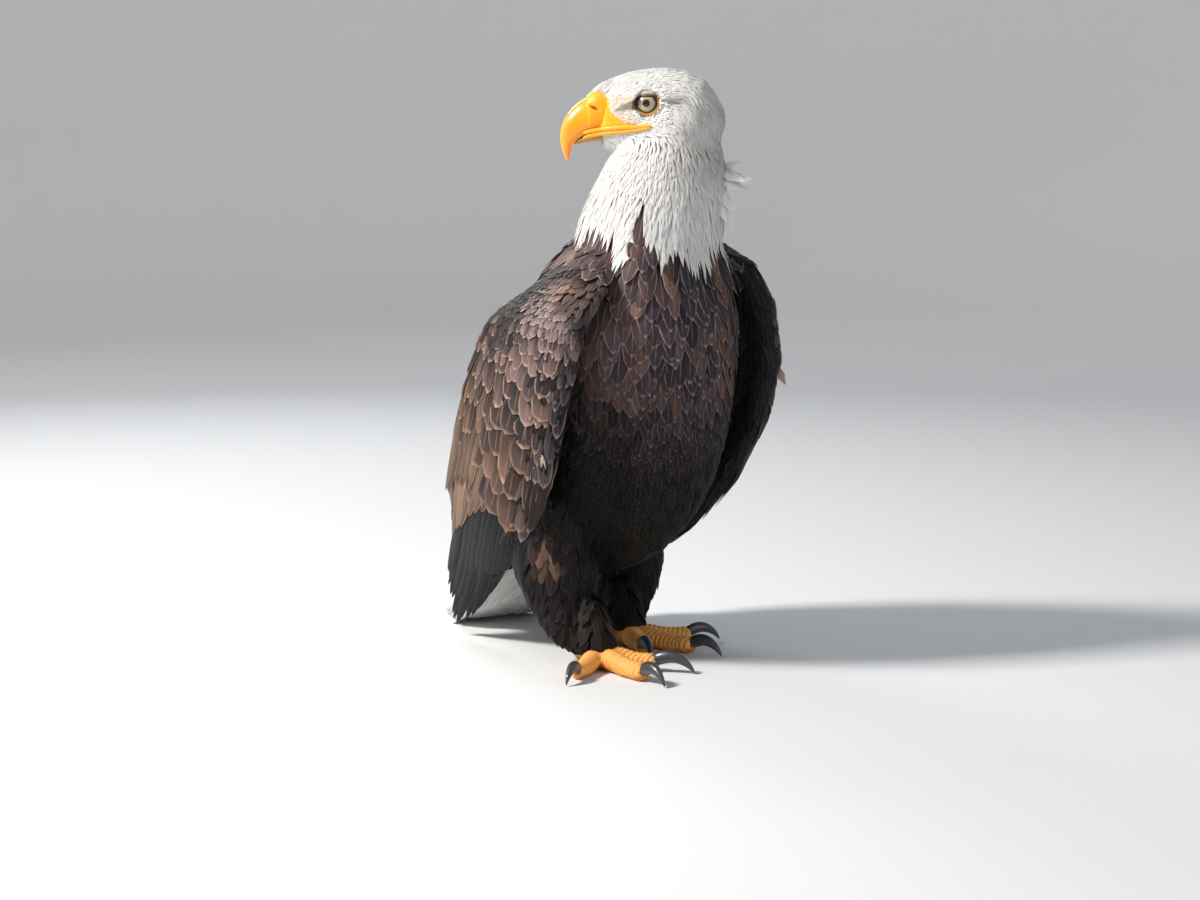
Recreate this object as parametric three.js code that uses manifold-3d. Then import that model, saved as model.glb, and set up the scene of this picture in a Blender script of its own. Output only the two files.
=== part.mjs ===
// A bald eagle (Haliaeetus leucocephalus), adult, life-size, standing on level ground as a museum model.
// The body faces -Y and the head is turned over the right shoulder. Millimetres, +Z up, +X is the bird's left.
// Every outline runs out to the tips of the feathers, so the solids hold the whole plumage.

import * as THREE from "three";
import { mergeVertices } from "three/addons/utils/BufferGeometryUtils.js";
import Module from "manifold-3d";

const wasm = await Module();
wasm.setup();

// ---- Driving dimensions -------------------------------------------------------------------------------------------

const GAP = 0.35; // clearance between neighbouring solids
const HEAD_TURN = 122; // degrees that the head is turned to the right of the body
const EYE_HEIGHT = 514; // eye centre above the ground
const EYE_PLACE = [2, -48.5]; // where the head's middle plane crosses the line through both eyes
// Each foot: its palm's place, how far it is turned outwards, and how far its thigh stands aside and behind.
const FOOT_RIGHT = { side: -1, x: 46, y: -40, turn: 0, aside: 0, behind: 0 }; // the right foot is set forward
const FOOT_LEFT = { side: 1, x: 38, y: 42, turn: 20, aside: 9, behind: -8 };

// ---- Finishes -----------------------------------------------------------------------------------------------------

const finish = (color, roughness) => new THREE.MeshStandardMaterial({ color, roughness, metalness: 0 });
const WHITE_PLUMAGE = finish(0xe9e6e0, 0.8);
const DARK_PLUMAGE = finish(0x34291f, 0.8);
const WING_PLUMAGE = finish(0x54402f, 0.75);
const FLIGHT_PLUMAGE = finish(0x1f1b1a, 0.6);
const BILL_HORN = finish(0xf59a12, 0.3);
const CERE_SKIN = finish(0xf2b41f, 0.45);
const EYE_GLOSS = finish(0xd8cfa6, 0.1);
const FOOT_SKIN = finish(0xf09a1c, 0.55);
const CLAW_HORN = finish(0x17171a, 0.25);

// ---- Small helpers ------------------------------------------------------------------------------------------------

const point = (p) => new THREE.Vector3(...p);
const radians = THREE.MathUtils.degToRad;

/** A smooth curve through whole-number rows of values, read at a share from 0 to 1. */
function track(rows) {
  const curve = new THREE.CatmullRomCurve3(rows.map(point), false, "catmullrom", 0.5);
  return (share) => curve.getPoint(THREE.MathUtils.clamp(share, 0, 1));
}

/** How far an end is rounded off: 0 at the very end, 1 once past the rounded length. */
function endRound(distance, length) {
  const in01 = THREE.MathUtils.clamp(distance / length, 0, 1);
  return Math.sqrt(1 - (1 - in01) ** 2);
}

/**
 * A closed body swept along a spine, made by warping a unit sphere.
 * Each row is { at, wide, front, back }: the spine's point, the half-width across, and the half-sizes towards and away
 * from the front. The front is `face`, or what is square to `side` where the spine turns over in one plane.
 * `bend` moves the section's front edge across and `curl` its back edge, by so many millimetres; `taper` thickens
 * the front edge and thins the back edge; `fill` thickens the back half towards the inner body; `full` below 1 gives
 * the back half squarer shoulders.
 */
function sweep(rows, options = {}) {
  const { face = [0, -1, 0], side = null, around = 20, along = 16, roundStart = 0.15, roundEnd = 0.15 } = options;
  const { bend = 0, curl = 0, taper = 0, fill = 0, full = 1, level = false } = options;
  const spine = track(rows.map((row) => row.at));
  const sizes = track(rows.map((row) => [row.wide, row.front, row.back]));
  const geometry = new THREE.SphereGeometry(1, around, along);
  const position = geometry.attributes.position;
  const step = 1e-3;
  for (let i = 0; i < position.count; i++) {
    const ring = Math.floor(i / (around + 1));
    const turn = (2 * Math.PI * (i % (around + 1))) / around;
    const share = (1 - Math.cos((Math.PI * ring) / along)) / 2;
    const tangent = spine(share + step).sub(spine(share - step)).normalize();
    if (level) tangent.set(0, 0, Math.sign(tangent.z));
    const forward = side ? point(side).cross(tangent) : point(face);
    forward.addScaledVector(tangent, -forward.dot(tangent)).normalize();
    const across = new THREE.Vector3().crossVectors(tangent, forward);
    const size = sizes(share).multiplyScalar(endRound(share, roundStart) * endRound(1 - share, roundEnd));
    const power = Math.sin(turn) > 0 ? 1 : full;
    const [acrossShare, frontShare] = [Math.cos(turn), Math.sin(turn)].map((v) => Math.sign(v) * Math.abs(v) ** power);
    const toFront = frontShare * (frontShare > 0 ? size.y : size.z);
    const inwards = Math.sin(turn) > 0 ? bend * Math.sin(turn) ** 2 : curl * Math.sin(turn) ** 6;
    const curled = inwards * endRound(share, roundStart) * endRound(1 - share, 0.5);
    const filled = THREE.MathUtils.smoothstep(-Math.sin(turn), -0.6, 0.5) * Math.min(1, share / 0.12, (0.93 - share) / 0.3);
    const inner = Math.cos(turn) * curl < 0 ? fill * Math.max(0, filled) : 0;
    const thick = size.x * (1 + taper * Math.sin(turn)) + inner;
    const toSide = acrossShare * thick - curled;
    const at = spine(share).addScaledVector(forward, toFront).addScaledVector(across, toSide);
    position.setXYZ(i, at.x, at.y, at.z);
  }
  return closed(geometry);
}

/** A geometry with its shared vertices merged, so that only positions are left. */
function closed(geometry) {
  geometry.deleteAttribute("normal");
  geometry.deleteAttribute("uv");
  return mergeVertices(geometry, 1e-4);
}

/** A solid of a closed geometry, turned the right way out. */
function solidOf(geometry) {
  const flipped = (indices) => indices.map((_, i) => indices[i - (i % 3) + (2 - (i % 3))]);
  const make = (triVerts) =>
    new wasm.Manifold(
      new wasm.Mesh({ numProp: 3, vertProperties: geometry.attributes.position.array, triVerts }),
    );
  const indices = new Uint32Array(geometry.index.array);
  const solid = make(indices);
  return solid.volume() > 0 ? solid : make(flipped(indices));
}

/** The solid grown outwards on every side, to cut a neighbour with clearance. */
function grown(geometry, by = GAP) {
  const outward = geometry.clone();
  outward.computeVertexNormals();
  const { position, normal } = outward.attributes;
  const sign = signedVolume(geometry) > 0 ? 1 : -1;
  for (let i = 0; i < position.count; i++) {
    position.setXYZ(
      i,
      position.getX(i) + sign * by * normal.getX(i),
      position.getY(i) + sign * by * normal.getY(i),
      position.getZ(i) + sign * by * normal.getZ(i),
    );
  }
  outward.deleteAttribute("normal");
  return solidOf(outward);
}

/** The volume inside a closed geometry, negative where its faces point inwards. */
function signedVolume(geometry) {
  const { position } = geometry.attributes;
  const corner = (k) => new THREE.Vector3().fromBufferAttribute(position, geometry.index.array[k]);
  let sum = 0;
  for (let k = 0; k < geometry.index.count; k += 3) {
    sum += corner(k).dot(corner(k + 1).cross(corner(k + 2))) / 6;
  }
  return sum;
}

/** What is left of a solid after its neighbours are cut out: its largest body. */
function without(solid, ...neighbours) {
  const left = neighbours.reduce((rest, neighbour) => rest.subtract(neighbour), solid);
  return left.decompose().sort((a, b) => b.volume() - a.volume())[0];
}

/** A large box that holds everything below a level, as a solid. */
function below(level) {
  const size = 2000;
  const box = new THREE.BoxGeometry(size, size, size).translate(0, 0, level - size / 2);
  return solidOf(closed(box));
}

const model = new THREE.Group();

/** Adds a solid to the model as a named mesh. */
function add(name, solid, material) {
  const { vertProperties, triVerts } = solid.getMesh();
  const geometry = new THREE.BufferGeometry()
    .setAttribute("position", new THREE.BufferAttribute(vertProperties, 3))
    .setIndex(new THREE.BufferAttribute(triVerts, 1));
  const mesh = new THREE.Mesh(geometry, material);
  mesh.name = name;
  model.add(mesh);
}

/** A row of a body whose sections are level: height, place along Y, half-width, and half-depth. */
const levelRow = (z, y, wide, deep, x = 0) => ({ at: [x, y, z], wide, front: deep, back: deep });

const GROUND = below(0);

// ---- Trunk: breast, belly, back and rump --------------------------------------------------------------------------

const trunkRow = (z, y, wide, front, back) => ({ at: [0, y, z], wide, front, back });

const trunkShape = sweep(
  [
    trunkRow(72, 40, 30, 30, 40),
    trunkRow(100, 22, 52, 62, 92),
    trunkRow(135, 3, 70, 84, 130),
    trunkRow(175, -7, 84, 97, 146),
    trunkRow(220, -17, 92, 100, 152),
    trunkRow(270, -27, 94, 98, 146),
    trunkRow(315, -36, 93, 90, 132),
    trunkRow(350, -42, 88, 78, 114),
    trunkRow(382, -47, 76, 66, 86),
    trunkRow(406, -50, 52, 48, 52),
  ],
  { level: true, around: 24, along: 18, roundStart: 0.1, roundEnd: 0.08, full: 0.74 },
);
const trunkGrown = grown(trunkShape);

// ---- Head, in its own frame: +X to the bill, +Z up, the origin between the eyes -----------------------------------

const headPlace = new THREE.Matrix4()
  .makeTranslation(...EYE_PLACE, EYE_HEIGHT)
  .multiply(new THREE.Matrix4().makeRotationZ(radians(-90 - HEAD_TURN)));

const headRow = (x, top, bottom, wide) => {
  const half = (top - bottom) / 2;
  return { at: [x, 0, (top + bottom) / 2], wide, front: half, back: half };
};

/** A swept body of the head, moved from the head's frame to the bird's. */
const headSweep = (rows, options) => sweep(rows, { side: [0, 1, 0], ...options }).applyMatrix4(headPlace);

const headShape = headSweep(
  [
    headRow(47, 14, -32, 14.5),
    headRow(36, 21, -41, 19.5),
    headRow(18, 29, -47, 25),
    headRow(0, 33, -52, 29),
    headRow(-20, 33, -57, 35),
    headRow(-38, 26, -60, 37),
    headRow(-53, 10, -60, 32),
    headRow(-64, -10, -56, 20),
  ],
  { around: 20, along: 14, roundStart: 0.1, roundEnd: 0.16 },
);

const CERE_ROWS = [headRow(30, 17, -25, 14), headRow(42, 17.5, -25.5, 14.6), headRow(54.5, 8.5, -26.5, 13.4)];
const cereShape = headSweep(CERE_ROWS, { around: 14, along: 6, roundStart: 0.05, roundEnd: 0.03 });

// The hook turns down from the cere: each row is the middle of the horn, its half-width and its half-depth.
const hookRow = (x, z, wide, deep) => ({ at: [x, 0, z], wide, front: deep, back: deep });
const upperBillShape = headSweep(
  [
    hookRow(49, -8.5, 12.8, 17),
    hookRow(57, -10.5, 12.6, 16.6),
    hookRow(66.5, -16, 10.8, 15),
    hookRow(73.5, -24.5, 8, 10.8),
    hookRow(77.5, -34, 5.2, 6.6),
    hookRow(78.2, -43.5, 3, 3.8),
    hookRow(75, -54, 0.8, 1),
  ],
  { around: 14, along: 10, roundStart: 0.03, roundEnd: 0.1 },
);
const lowerBillShape = headSweep(
  [headRow(14, -24, -34, 12), headRow(34, -25, -35, 11.5), headRow(54, -26, -34, 9), headRow(69, -31.5, -36, 4.6)],
  { around: 12, along: 6, roundStart: 0.1, roundEnd: 0.2 },
);

const EYE_RADIUS = 14.5;
const EYE_ASIDE = 18.5; // eyeball centre from the head's middle plane
const eyeShape = (side) =>
  closed(new THREE.SphereGeometry(EYE_RADIUS, 12, 8).translate(0, side * EYE_ASIDE, 0)).applyMatrix4(headPlace);
const eyes = { right: eyeShape(-1), left: eyeShape(1) };

// ---- Neck: the loose white hackles between head and shoulders -----------------------------------------------------

const headForward = new THREE.Vector3(1, 0, 0).transformDirection(headPlace);
const neckRow = (x, y, z, wide, front, back) => ({ at: [x, y, z], wide, front, back });
const neckShape = sweep(
  [
    neckRow(-1, -47, 345, 52, 62, 58),
    neckRow(1, -49, 380, 60, 79, 68),
    neckRow(7, -53, 408, 56, 77, 64),
    neckRow(14, -57, 438, 50, 67, 58),
    neckRow(19, -59, 466, 43, 56, 53),
    neckRow(20, -58, 496, 34, 44, 48),
  ],
  { face: headForward.toArray(), level: true, around: 18, along: 10, roundStart: 0.12, roundEnd: 0.2 },
);

// ---- Wings: folded, held a little away from the breast ------------------------------------------------------------

/** One folded wing. Rows run from the wrist's top down to the tip of the primaries. */
function wingShape(side, rows) {
  return sweep(
    rows.map(([x, y, z, thick, front, back]) => ({ at: [side * x, y, z], wide: thick, front, back })),
    { around: 20, along: 14, roundStart: 0.12, roundEnd: 0.14, taper: 0.35, bend: -side * 8, curl: -side * 74, fill: 52, full: 0.86 },
  );
}

const rightWingShape = wingShape(-1, [
  [74, -2, 392, 11, 30, 30],
  [98, -34, 358, 16, 62, 66],
  [111, -32, 318, 17, 76, 92],
  [117, -14, 262, 17, 74, 112],
  [114, 10, 200, 15, 66, 124],
  [106, 52, 138, 12, 54, 108],
  [94, 104, 82, 9, 40, 74],
  [79, 158, 36, 5, 22, 26],
]);
const leftWingShape = wingShape(1, [
  [72, 6, 384, 11, 30, 28],
  [102, -20, 364, 15, 52, 58],
  [121, -26, 330, 17, 56, 84],
  [130, -14, 276, 18, 66, 108],
  [127, 12, 212, 17, 64, 122],
  [112, 56, 148, 13, 54, 106],
  [93, 106, 88, 9, 38, 74],
  [76, 160, 40, 5, 20, 26],
]);

// ---- Tail: a fan of twelve broad feathers, its tips laid on the ground --------------------------------------------

const tailShape = sweep(
  [
    { at: [0, 56, 146], wide: 34, front: 20, back: 20 },
    { at: [0, 108, 96], wide: 42, front: 15, back: 15 },
    { at: [0, 158, 50], wide: 50, front: 10, back: 10 },
    { at: [0, 206, 16], wide: 57, front: 6, back: 6 },
    { at: [0, 254, -1], wide: 58, front: 3.5, back: 3.5 },
  ],
  { side: [1, 0, 0], around: 16, along: 10, roundStart: 0.08, roundEnd: 0.2 },
);

// ---- Legs: feathered thighs, bare feet and claws ------------------------------------------------------------------

/** The feathered thigh of one foot: it hangs down behind the ankle. */
function thighShape({ side, x, y, aside, behind }) {
  const row = (out, back, z, wide, deep) => levelRow(z, y + behind + back, wide, deep, side * (x + aside + out));
  return sweep(
    [
      row(6, 44, 205, 30, 40),
      row(12, 46, 165, 40, 50),
      row(15, 50, 120, 42, 48),
      row(14, 50, 84, 38, 42),
      row(11, 42, 50, 30, 33),
      row(8 - aside / 2, 30 - behind / 2, 26, 22, 23),
      row(5 - aside, 22 - behind, 9, 13, 13),
    ],
    { level: true, around: 14, along: 10, roundStart: 0.15, roundEnd: 0.1 },
  );
}

// Each toe: its bearing from straight ahead (outwards positive), length to the claw, girth and the claw's reach.
const TOES = [
  { name: "hind", bearing: -168, length: 40, base: 10, tip: 9, claw: 37 },
  { name: "inner", bearing: -38, length: 51, base: 9.8, tip: 8.4, claw: 35 },
  { name: "middle", bearing: 0, length: 73, base: 9.6, tip: 8.2, claw: 31 },
  { name: "outer", bearing: 50, length: 56, base: 9, tip: 7.6, claw: 28 },
];
const PALM_HEIGHT = 15;

/** Everything of one foot: the ankle with its palm, four toes and four claws. */
function addFoot(word, foot, thigh) {
  const { side, x, y } = foot;
  const centre = [side * x, y];
  const ankle = sweep(
    [
      { at: [side * (x + 3), y + 16, 62], wide: 9, front: 9, back: 9 },
      { at: [side * (x + 2), y + 10, 40], wide: 9.5, front: 9.5, back: 9.5 },
      { at: [side * x, y + 4, 22], wide: 12, front: 12, back: 11 },
      { at: [side * x, y, 8], wide: 15, front: 15, back: 14 },
      { at: [side * x, y - 1, -5], wide: 14, front: 14, back: 13 },
    ],
    { around: 10, along: 6, roundStart: 0.1, roundEnd: 0.2 },
  );
  const cuts = [grown(ankle), thigh, GROUND];
  add(`ankle_${word}`, without(solidOf(ankle), thigh, GROUND), FOOT_SKIN);
  for (const toe of TOES) {
    const angle = radians(toe.bearing + foot.turn);
    const outward = [side * Math.sin(angle), -Math.cos(angle)];
    const on = (distance, z) => [centre[0] + outward[0] * distance, centre[1] + outward[1] * distance, z];
    const toeRow = (distance, z, girth) => ({ at: on(distance, z), wide: girth, front: girth, back: girth });
    const reach = 8 + toe.length;
    const toeShape = sweep(
      [
        toeRow(6, PALM_HEIGHT - 2, toe.base),
        toeRow(8 + toe.length * 0.3, toe.base + 0.2, toe.base),
        toeRow(8 + toe.length * 0.62, toe.tip - 0.9, toe.tip),
        toeRow(8 + toe.length * 0.84, toe.tip - 0.1, toe.tip * 1.06),
        toeRow(reach, toe.tip + 1.6, toe.tip * 0.86),
      ],
      { face: [0, 0, 1], around: 9, along: 7, roundStart: 0.12, roundEnd: 0.14 },
    );
    const clawShape = sweep(
      [
        toeRow(reach - 5, toe.tip + 3, toe.tip * 0.68),
        toeRow(reach + toe.claw * 0.3, toe.tip + 6, toe.tip * 0.62),
        toeRow(reach + toe.claw * 0.68, toe.tip + 2.5, toe.tip * 0.44),
        toeRow(reach + toe.claw * 0.94, 1.6, 0.8),
      ],
      { face: [0, 0, 1], around: 8, along: 6, roundStart: 0.1, roundEnd: 0.06 },
    );
    const name = `${toe.name}_${word}`;
    add(`toe_${name}`, without(solidOf(toeShape), ...cuts), FOOT_SKIN);
    add(`claw_${name}`, without(solidOf(clawShape), grown(toeShape), below(0.6)), CLAW_HORN);
    cuts.push(grown(toeShape));
  }
}

// ---- The parts, each cut back from the ones that it grows from ----------------------------------------------------

const eyesGrown = [grown(eyes.right), grown(eyes.left)];
const billGrown = [grown(cereShape), grown(upperBillShape), grown(lowerBillShape)];
const thighShapes = { right: thighShape(FOOT_RIGHT), left: thighShape(FOOT_LEFT) };
const thighsGrown = { right: grown(thighShapes.right), left: grown(thighShapes.left) };
const wingsGrown = [grown(rightWingShape), grown(leftWingShape)];
const FLIGHT_LEVEL = 150; // below this height a folded wing is flight feathers only

add("eye_right", solidOf(eyes.right), EYE_GLOSS);
add("eye_left", solidOf(eyes.left), EYE_GLOSS);
add("bill_upper", without(solidOf(upperBillShape), grown(cereShape)), BILL_HORN);
add("cere", without(solidOf(cereShape)), CERE_SKIN);
add("bill_lower", without(solidOf(lowerBillShape), grown(cereShape), grown(upperBillShape)), BILL_HORN);
add("head", without(solidOf(headShape), ...eyesGrown, ...billGrown), WHITE_PLUMAGE);
add("neck", without(solidOf(neckShape), grown(headShape), ...billGrown), WHITE_PLUMAGE);
add("trunk", without(solidOf(trunkShape), grown(neckShape)), DARK_PLUMAGE);
for (const [word, shape] of [["right", rightWingShape], ["left", leftWingShape]]) {
  const wing = without(solidOf(shape), trunkGrown, grown(neckShape), thighsGrown[word], below(2));
  const lower = below(FLIGHT_LEVEL - GAP / 2);
  add(`wing_${word}_coverts`, without(wing, below(FLIGHT_LEVEL + GAP / 2)), WING_PLUMAGE);
  add(`wing_${word}_flight`, wing.intersect(lower).decompose().sort((a, b) => b.volume() - a.volume())[0], FLIGHT_PLUMAGE);
}
add("tail", without(solidOf(tailShape), trunkGrown, ...wingsGrown, thighsGrown.right, thighsGrown.left, GROUND), WHITE_PLUMAGE);
for (const [word, foot] of [["right", FOOT_RIGHT], ["left", FOOT_LEFT]]) {
  add(`thigh_${word}`, without(solidOf(thighShapes[word]), trunkGrown), DARK_PLUMAGE);
  addFoot(word, foot, thighsGrown[word]);
}

// The origin is on the ground, under the middle of the model's box.
const box = new THREE.Box3().setFromObject(model);
model.position.set(-(box.min.x + box.max.x) / 2, -(box.min.y + box.max.y) / 2, -box.min.z);

export default model;
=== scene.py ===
"""A life-size museum model of a bald eagle: one skin, its plumage, and the eyes, bill, feet and claws."""

from __future__ import annotations

import logging
import math
import sys
from dataclasses import dataclass, field, fields
from enum import Enum
from typing import Any, Sequence

import bmesh
import bpy
import numpy as np
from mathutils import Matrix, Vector
from mathutils.bvhtree import BVHTree
from mathutils.kdtree import KDTree

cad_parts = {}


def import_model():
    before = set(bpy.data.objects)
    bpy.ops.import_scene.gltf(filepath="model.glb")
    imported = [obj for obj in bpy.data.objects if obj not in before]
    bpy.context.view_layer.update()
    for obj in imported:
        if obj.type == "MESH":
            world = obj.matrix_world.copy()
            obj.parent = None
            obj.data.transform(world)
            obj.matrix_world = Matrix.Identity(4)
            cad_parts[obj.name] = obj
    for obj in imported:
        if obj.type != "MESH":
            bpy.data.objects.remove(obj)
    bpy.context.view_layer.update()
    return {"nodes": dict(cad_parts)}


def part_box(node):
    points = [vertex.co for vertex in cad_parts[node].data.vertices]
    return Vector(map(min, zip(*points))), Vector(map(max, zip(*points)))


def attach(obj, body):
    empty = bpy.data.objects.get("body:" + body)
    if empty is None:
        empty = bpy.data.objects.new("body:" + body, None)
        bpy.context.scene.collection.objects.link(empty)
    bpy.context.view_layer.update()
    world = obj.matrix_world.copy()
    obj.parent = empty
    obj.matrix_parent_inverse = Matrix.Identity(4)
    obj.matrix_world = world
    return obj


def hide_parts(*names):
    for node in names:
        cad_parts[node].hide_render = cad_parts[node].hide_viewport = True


LOG = logging.getLogger("eagle")
MM = 0.001
WELD = 1e-5  # metres: points closer than this are one
Array = np.ndarray
Tone = tuple[float, float, float]


def tone(red: float, green: float, blue: float) -> Tone:
    """A colour given as it looks on a screen, 0 to 255, turned into linear light."""
    parts = [v / 255.0 for v in (red, green, blue)]
    linear = [v / 12.92 if v <= 0.04045 else ((v + 0.055) / 1.055) ** 2.4 for v in parts]
    return (linear[0], linear[1], linear[2])


def unit(rows: Array) -> Array:
    """Each row (the last axis) brought to length 1."""
    return rows / np.maximum(np.linalg.norm(rows, axis=-1, keepdims=True), 1e-9)


def ramp(low: float, high: float, value: Array | float) -> Array:
    """0 below low, 1 above high, and a smooth rise between them. High may be the lower one."""
    share = np.clip((np.asarray(value, float) - low) / (high - low), 0.0, 1.0)
    return share * share * (3.0 - 2.0 * share)


def hump(value: Array | float, centre: float, spread: float) -> Array:
    """A bell of height 1 at centre."""
    return np.exp(-(((np.asarray(value, float) - centre) / spread) ** 2))


def mound(x: Array, z: Array, middle: tuple[float, float], size: tuple[float, float]) -> Array:
    """A bell of height 1 over a spot of the head's side."""
    return np.exp(-(((x - middle[0]) / size[0]) ** 2) - (((z - middle[1]) / size[1]) ** 2))


def blend(first: Array | Tone, second: Array | Tone, share: Array) -> Array:
    """The first rows with a share of the second in them."""
    share = share[:, None] if share.ndim == 1 else share
    return np.asarray(first) * (1 - share) + np.asarray(second) * share


def between(at: Array | float, marks: Sequence[float] | Array, rows: Array) -> Array:
    """Rows interpolated column by column."""
    return np.stack([np.interp(at, marks, column) for column in rows.T], axis=-1)


def evened(rows: Array) -> Array:
    """Rows smoothed twice along their order, with both ends kept."""
    for _ in range(2):
        rows[1:-1] = 0.25 * rows[:-2] + 0.5 * rows[1:-1] + 0.25 * rows[2:]
    return rows


def flat_part(rows: Array, normals: Array) -> Array:
    """Each row without its part along the normal, at length 1."""
    return unit(rows - normals * np.sum(rows * normals, axis=-1, keepdims=True))


class Side(Enum):
    """The bird's own right or left, with its sign along X."""

    RIGHT = -1
    LEFT = 1

    @property
    def label(self) -> str:
        """The side's name as the nodes have it."""
        return self.name.lower()


class Zone(Enum):
    """The part of the body that a point of the skin belongs to."""

    HEAD = 0
    NECK = 1
    TRUNK = 2
    THIGH = 3
    COVERTS = 4
    FLIGHT = 5
    TAIL = 6


def lies_in(zone: Array, *wanted: Zone) -> Array:
    """Whether each of some zones is one of those wanted."""
    return np.isin(zone, [z.value for z in wanted])


FLESH: dict[str, Zone] = {
    "head": Zone.HEAD, "neck": Zone.NECK, "trunk": Zone.TRUNK,
    "thigh_right": Zone.THIGH, "thigh_left": Zone.THIGH,
    "wing_right_coverts": Zone.COVERTS, "wing_left_coverts": Zone.COVERTS,
    "wing_right_flight": Zone.FLIGHT, "wing_left_flight": Zone.FLIGHT, "tail": Zone.TAIL,
}
WING_ZONES = (Zone.COVERTS, Zone.FLIGHT)
EYES_MIDDLE = (2.0, -48.5, 514.0)  # the bird point midway between the eyes


@dataclass(frozen=True)
class BirdFrame:
    """The bird's own frame in millimetres: it faces -Y, +X is its left, and the eyes fix it in the model."""

    shift: Array
    head_at: Array = field(default_factory=lambda: np.array(EYES_MIDDLE))
    ahead: Array = field(default_factory=lambda: np.array([-0.848, 0.530, 0.0]))
    leftward: Array = field(default_factory=lambda: np.array([-0.530, -0.848, 0.0]))

    @staticmethod
    def from_eyes() -> "BirdFrame":
        """The frame whose head point lies midway between the eye nodes."""
        corners = [np.array(c) for name in ("eye_right", "eye_left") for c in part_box(name)]
        return BirdFrame(shift=np.mean(corners, axis=0) / MM - np.array(EYES_MIDDLE))

    def to_model(self, points: Array) -> Array:
        """Bird millimetres to model metres."""
        return (np.asarray(points, float) + self.shift) * MM

    def to_bird(self, points: Array) -> Array:
        """Model metres to bird millimetres."""
        return np.asarray(points, float) / MM - self.shift

    def head_local(self, points: Array) -> Array:
        """Bird points as forward, left and up from between the eyes."""
        away = np.asarray(points, float) - self.head_at
        return np.stack([away @ self.ahead, away @ self.leftward, away[..., 2]], axis=-1)

    def from_head(self, rows: Array) -> Array:
        """Forward, left and up from between the eyes, as bird points."""
        rows = np.asarray(rows, float)
        level = self.head_at + rows[..., :1] * self.ahead + rows[..., 1:2] * self.leftward
        return level + rows[..., 2:3] * np.array([0.0, 0.0, 1.0])

    def head_turn(self, rows: Array) -> Array:
        """A direction given forward, left and up, in the bird's frame."""
        return self.from_head(rows) - self.head_at


# ------------------------------------------------------------------------------------ meshes and objects


def placed(name: str, data: Any) -> bpy.types.Object:
    """A new object that shows some data, in the scene."""
    ob = bpy.data.objects.new(name, data)
    bpy.context.scene.collection.objects.link(ob)
    return ob


def mesh_of(bm: bmesh.types.BMesh, name: str) -> bpy.types.Mesh:
    """A mesh with a BMesh's contents, which is freed."""
    mesh = bpy.data.meshes.new(name)
    bm.to_mesh(mesh)
    bm.free()
    return mesh


def take_in(bm: bmesh.types.BMesh, other: bmesh.types.BMesh) -> None:
    """Moves one BMesh's contents into another."""
    mesh = mesh_of(other, "taken")
    bm.from_mesh(mesh)
    bpy.data.meshes.remove(mesh)


def evaluated(ob: bpy.types.Object) -> bpy.types.Mesh:
    """The mesh of an object as its modifiers make it."""
    return bpy.data.meshes.new_from_object(ob.evaluated_get(bpy.context.evaluated_depsgraph_get()))


def smooth_shaded(mesh: bpy.types.Mesh) -> None:
    """Shades every face of a mesh smooth."""
    mesh.polygons.foreach_set("use_smooth", np.ones(len(mesh.polygons), bool))


def fused(
    name: str, nodes: dict[str, bpy.types.Object], growth: dict[str, float], foot_line: float = 0.0,
    cut: Sequence[str] = (),
) -> bpy.types.Object:
    """Some nodes joined in one object, each grown along its normals.

    Args:
        name: the object's name.
        nodes: the frame's nodes.
        growth: how far each node that is wanted grows, in mm.
        foot_line: the height under which the cut nodes are taken away, in mm.
        cut: the nodes that are cut at that height.

    Returns:
        The object, at the origin.
    """
    whole = bmesh.new()
    for wanted, growing in growth.items():
        part = bmesh.new()
        part.from_mesh(nodes[wanted].data)
        bmesh.ops.remove_doubles(part, verts=part.verts, dist=WELD)
        if wanted in cut:
            all_of_it = part.verts[:] + part.edges[:] + part.faces[:]
            line = (0.0, 0.0, foot_line * MM)
            made = bmesh.ops.bisect_plane(
                part, geom=all_of_it, plane_co=line, plane_no=(0, 0, 1), clear_inner=True
            )
            rim = [g for g in made["geom_cut"] if isinstance(g, bmesh.types.BMEdge)]
            bmesh.ops.contextual_create(part, geom=rim)
        part.normal_update()
        for vert in part.verts:
            vert.co += vert.normal * growing * MM
        take_in(whole, part)
    return placed(name, mesh_of(whole, name))


# ---------------------------------------------------------------------------------------------- materials


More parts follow.
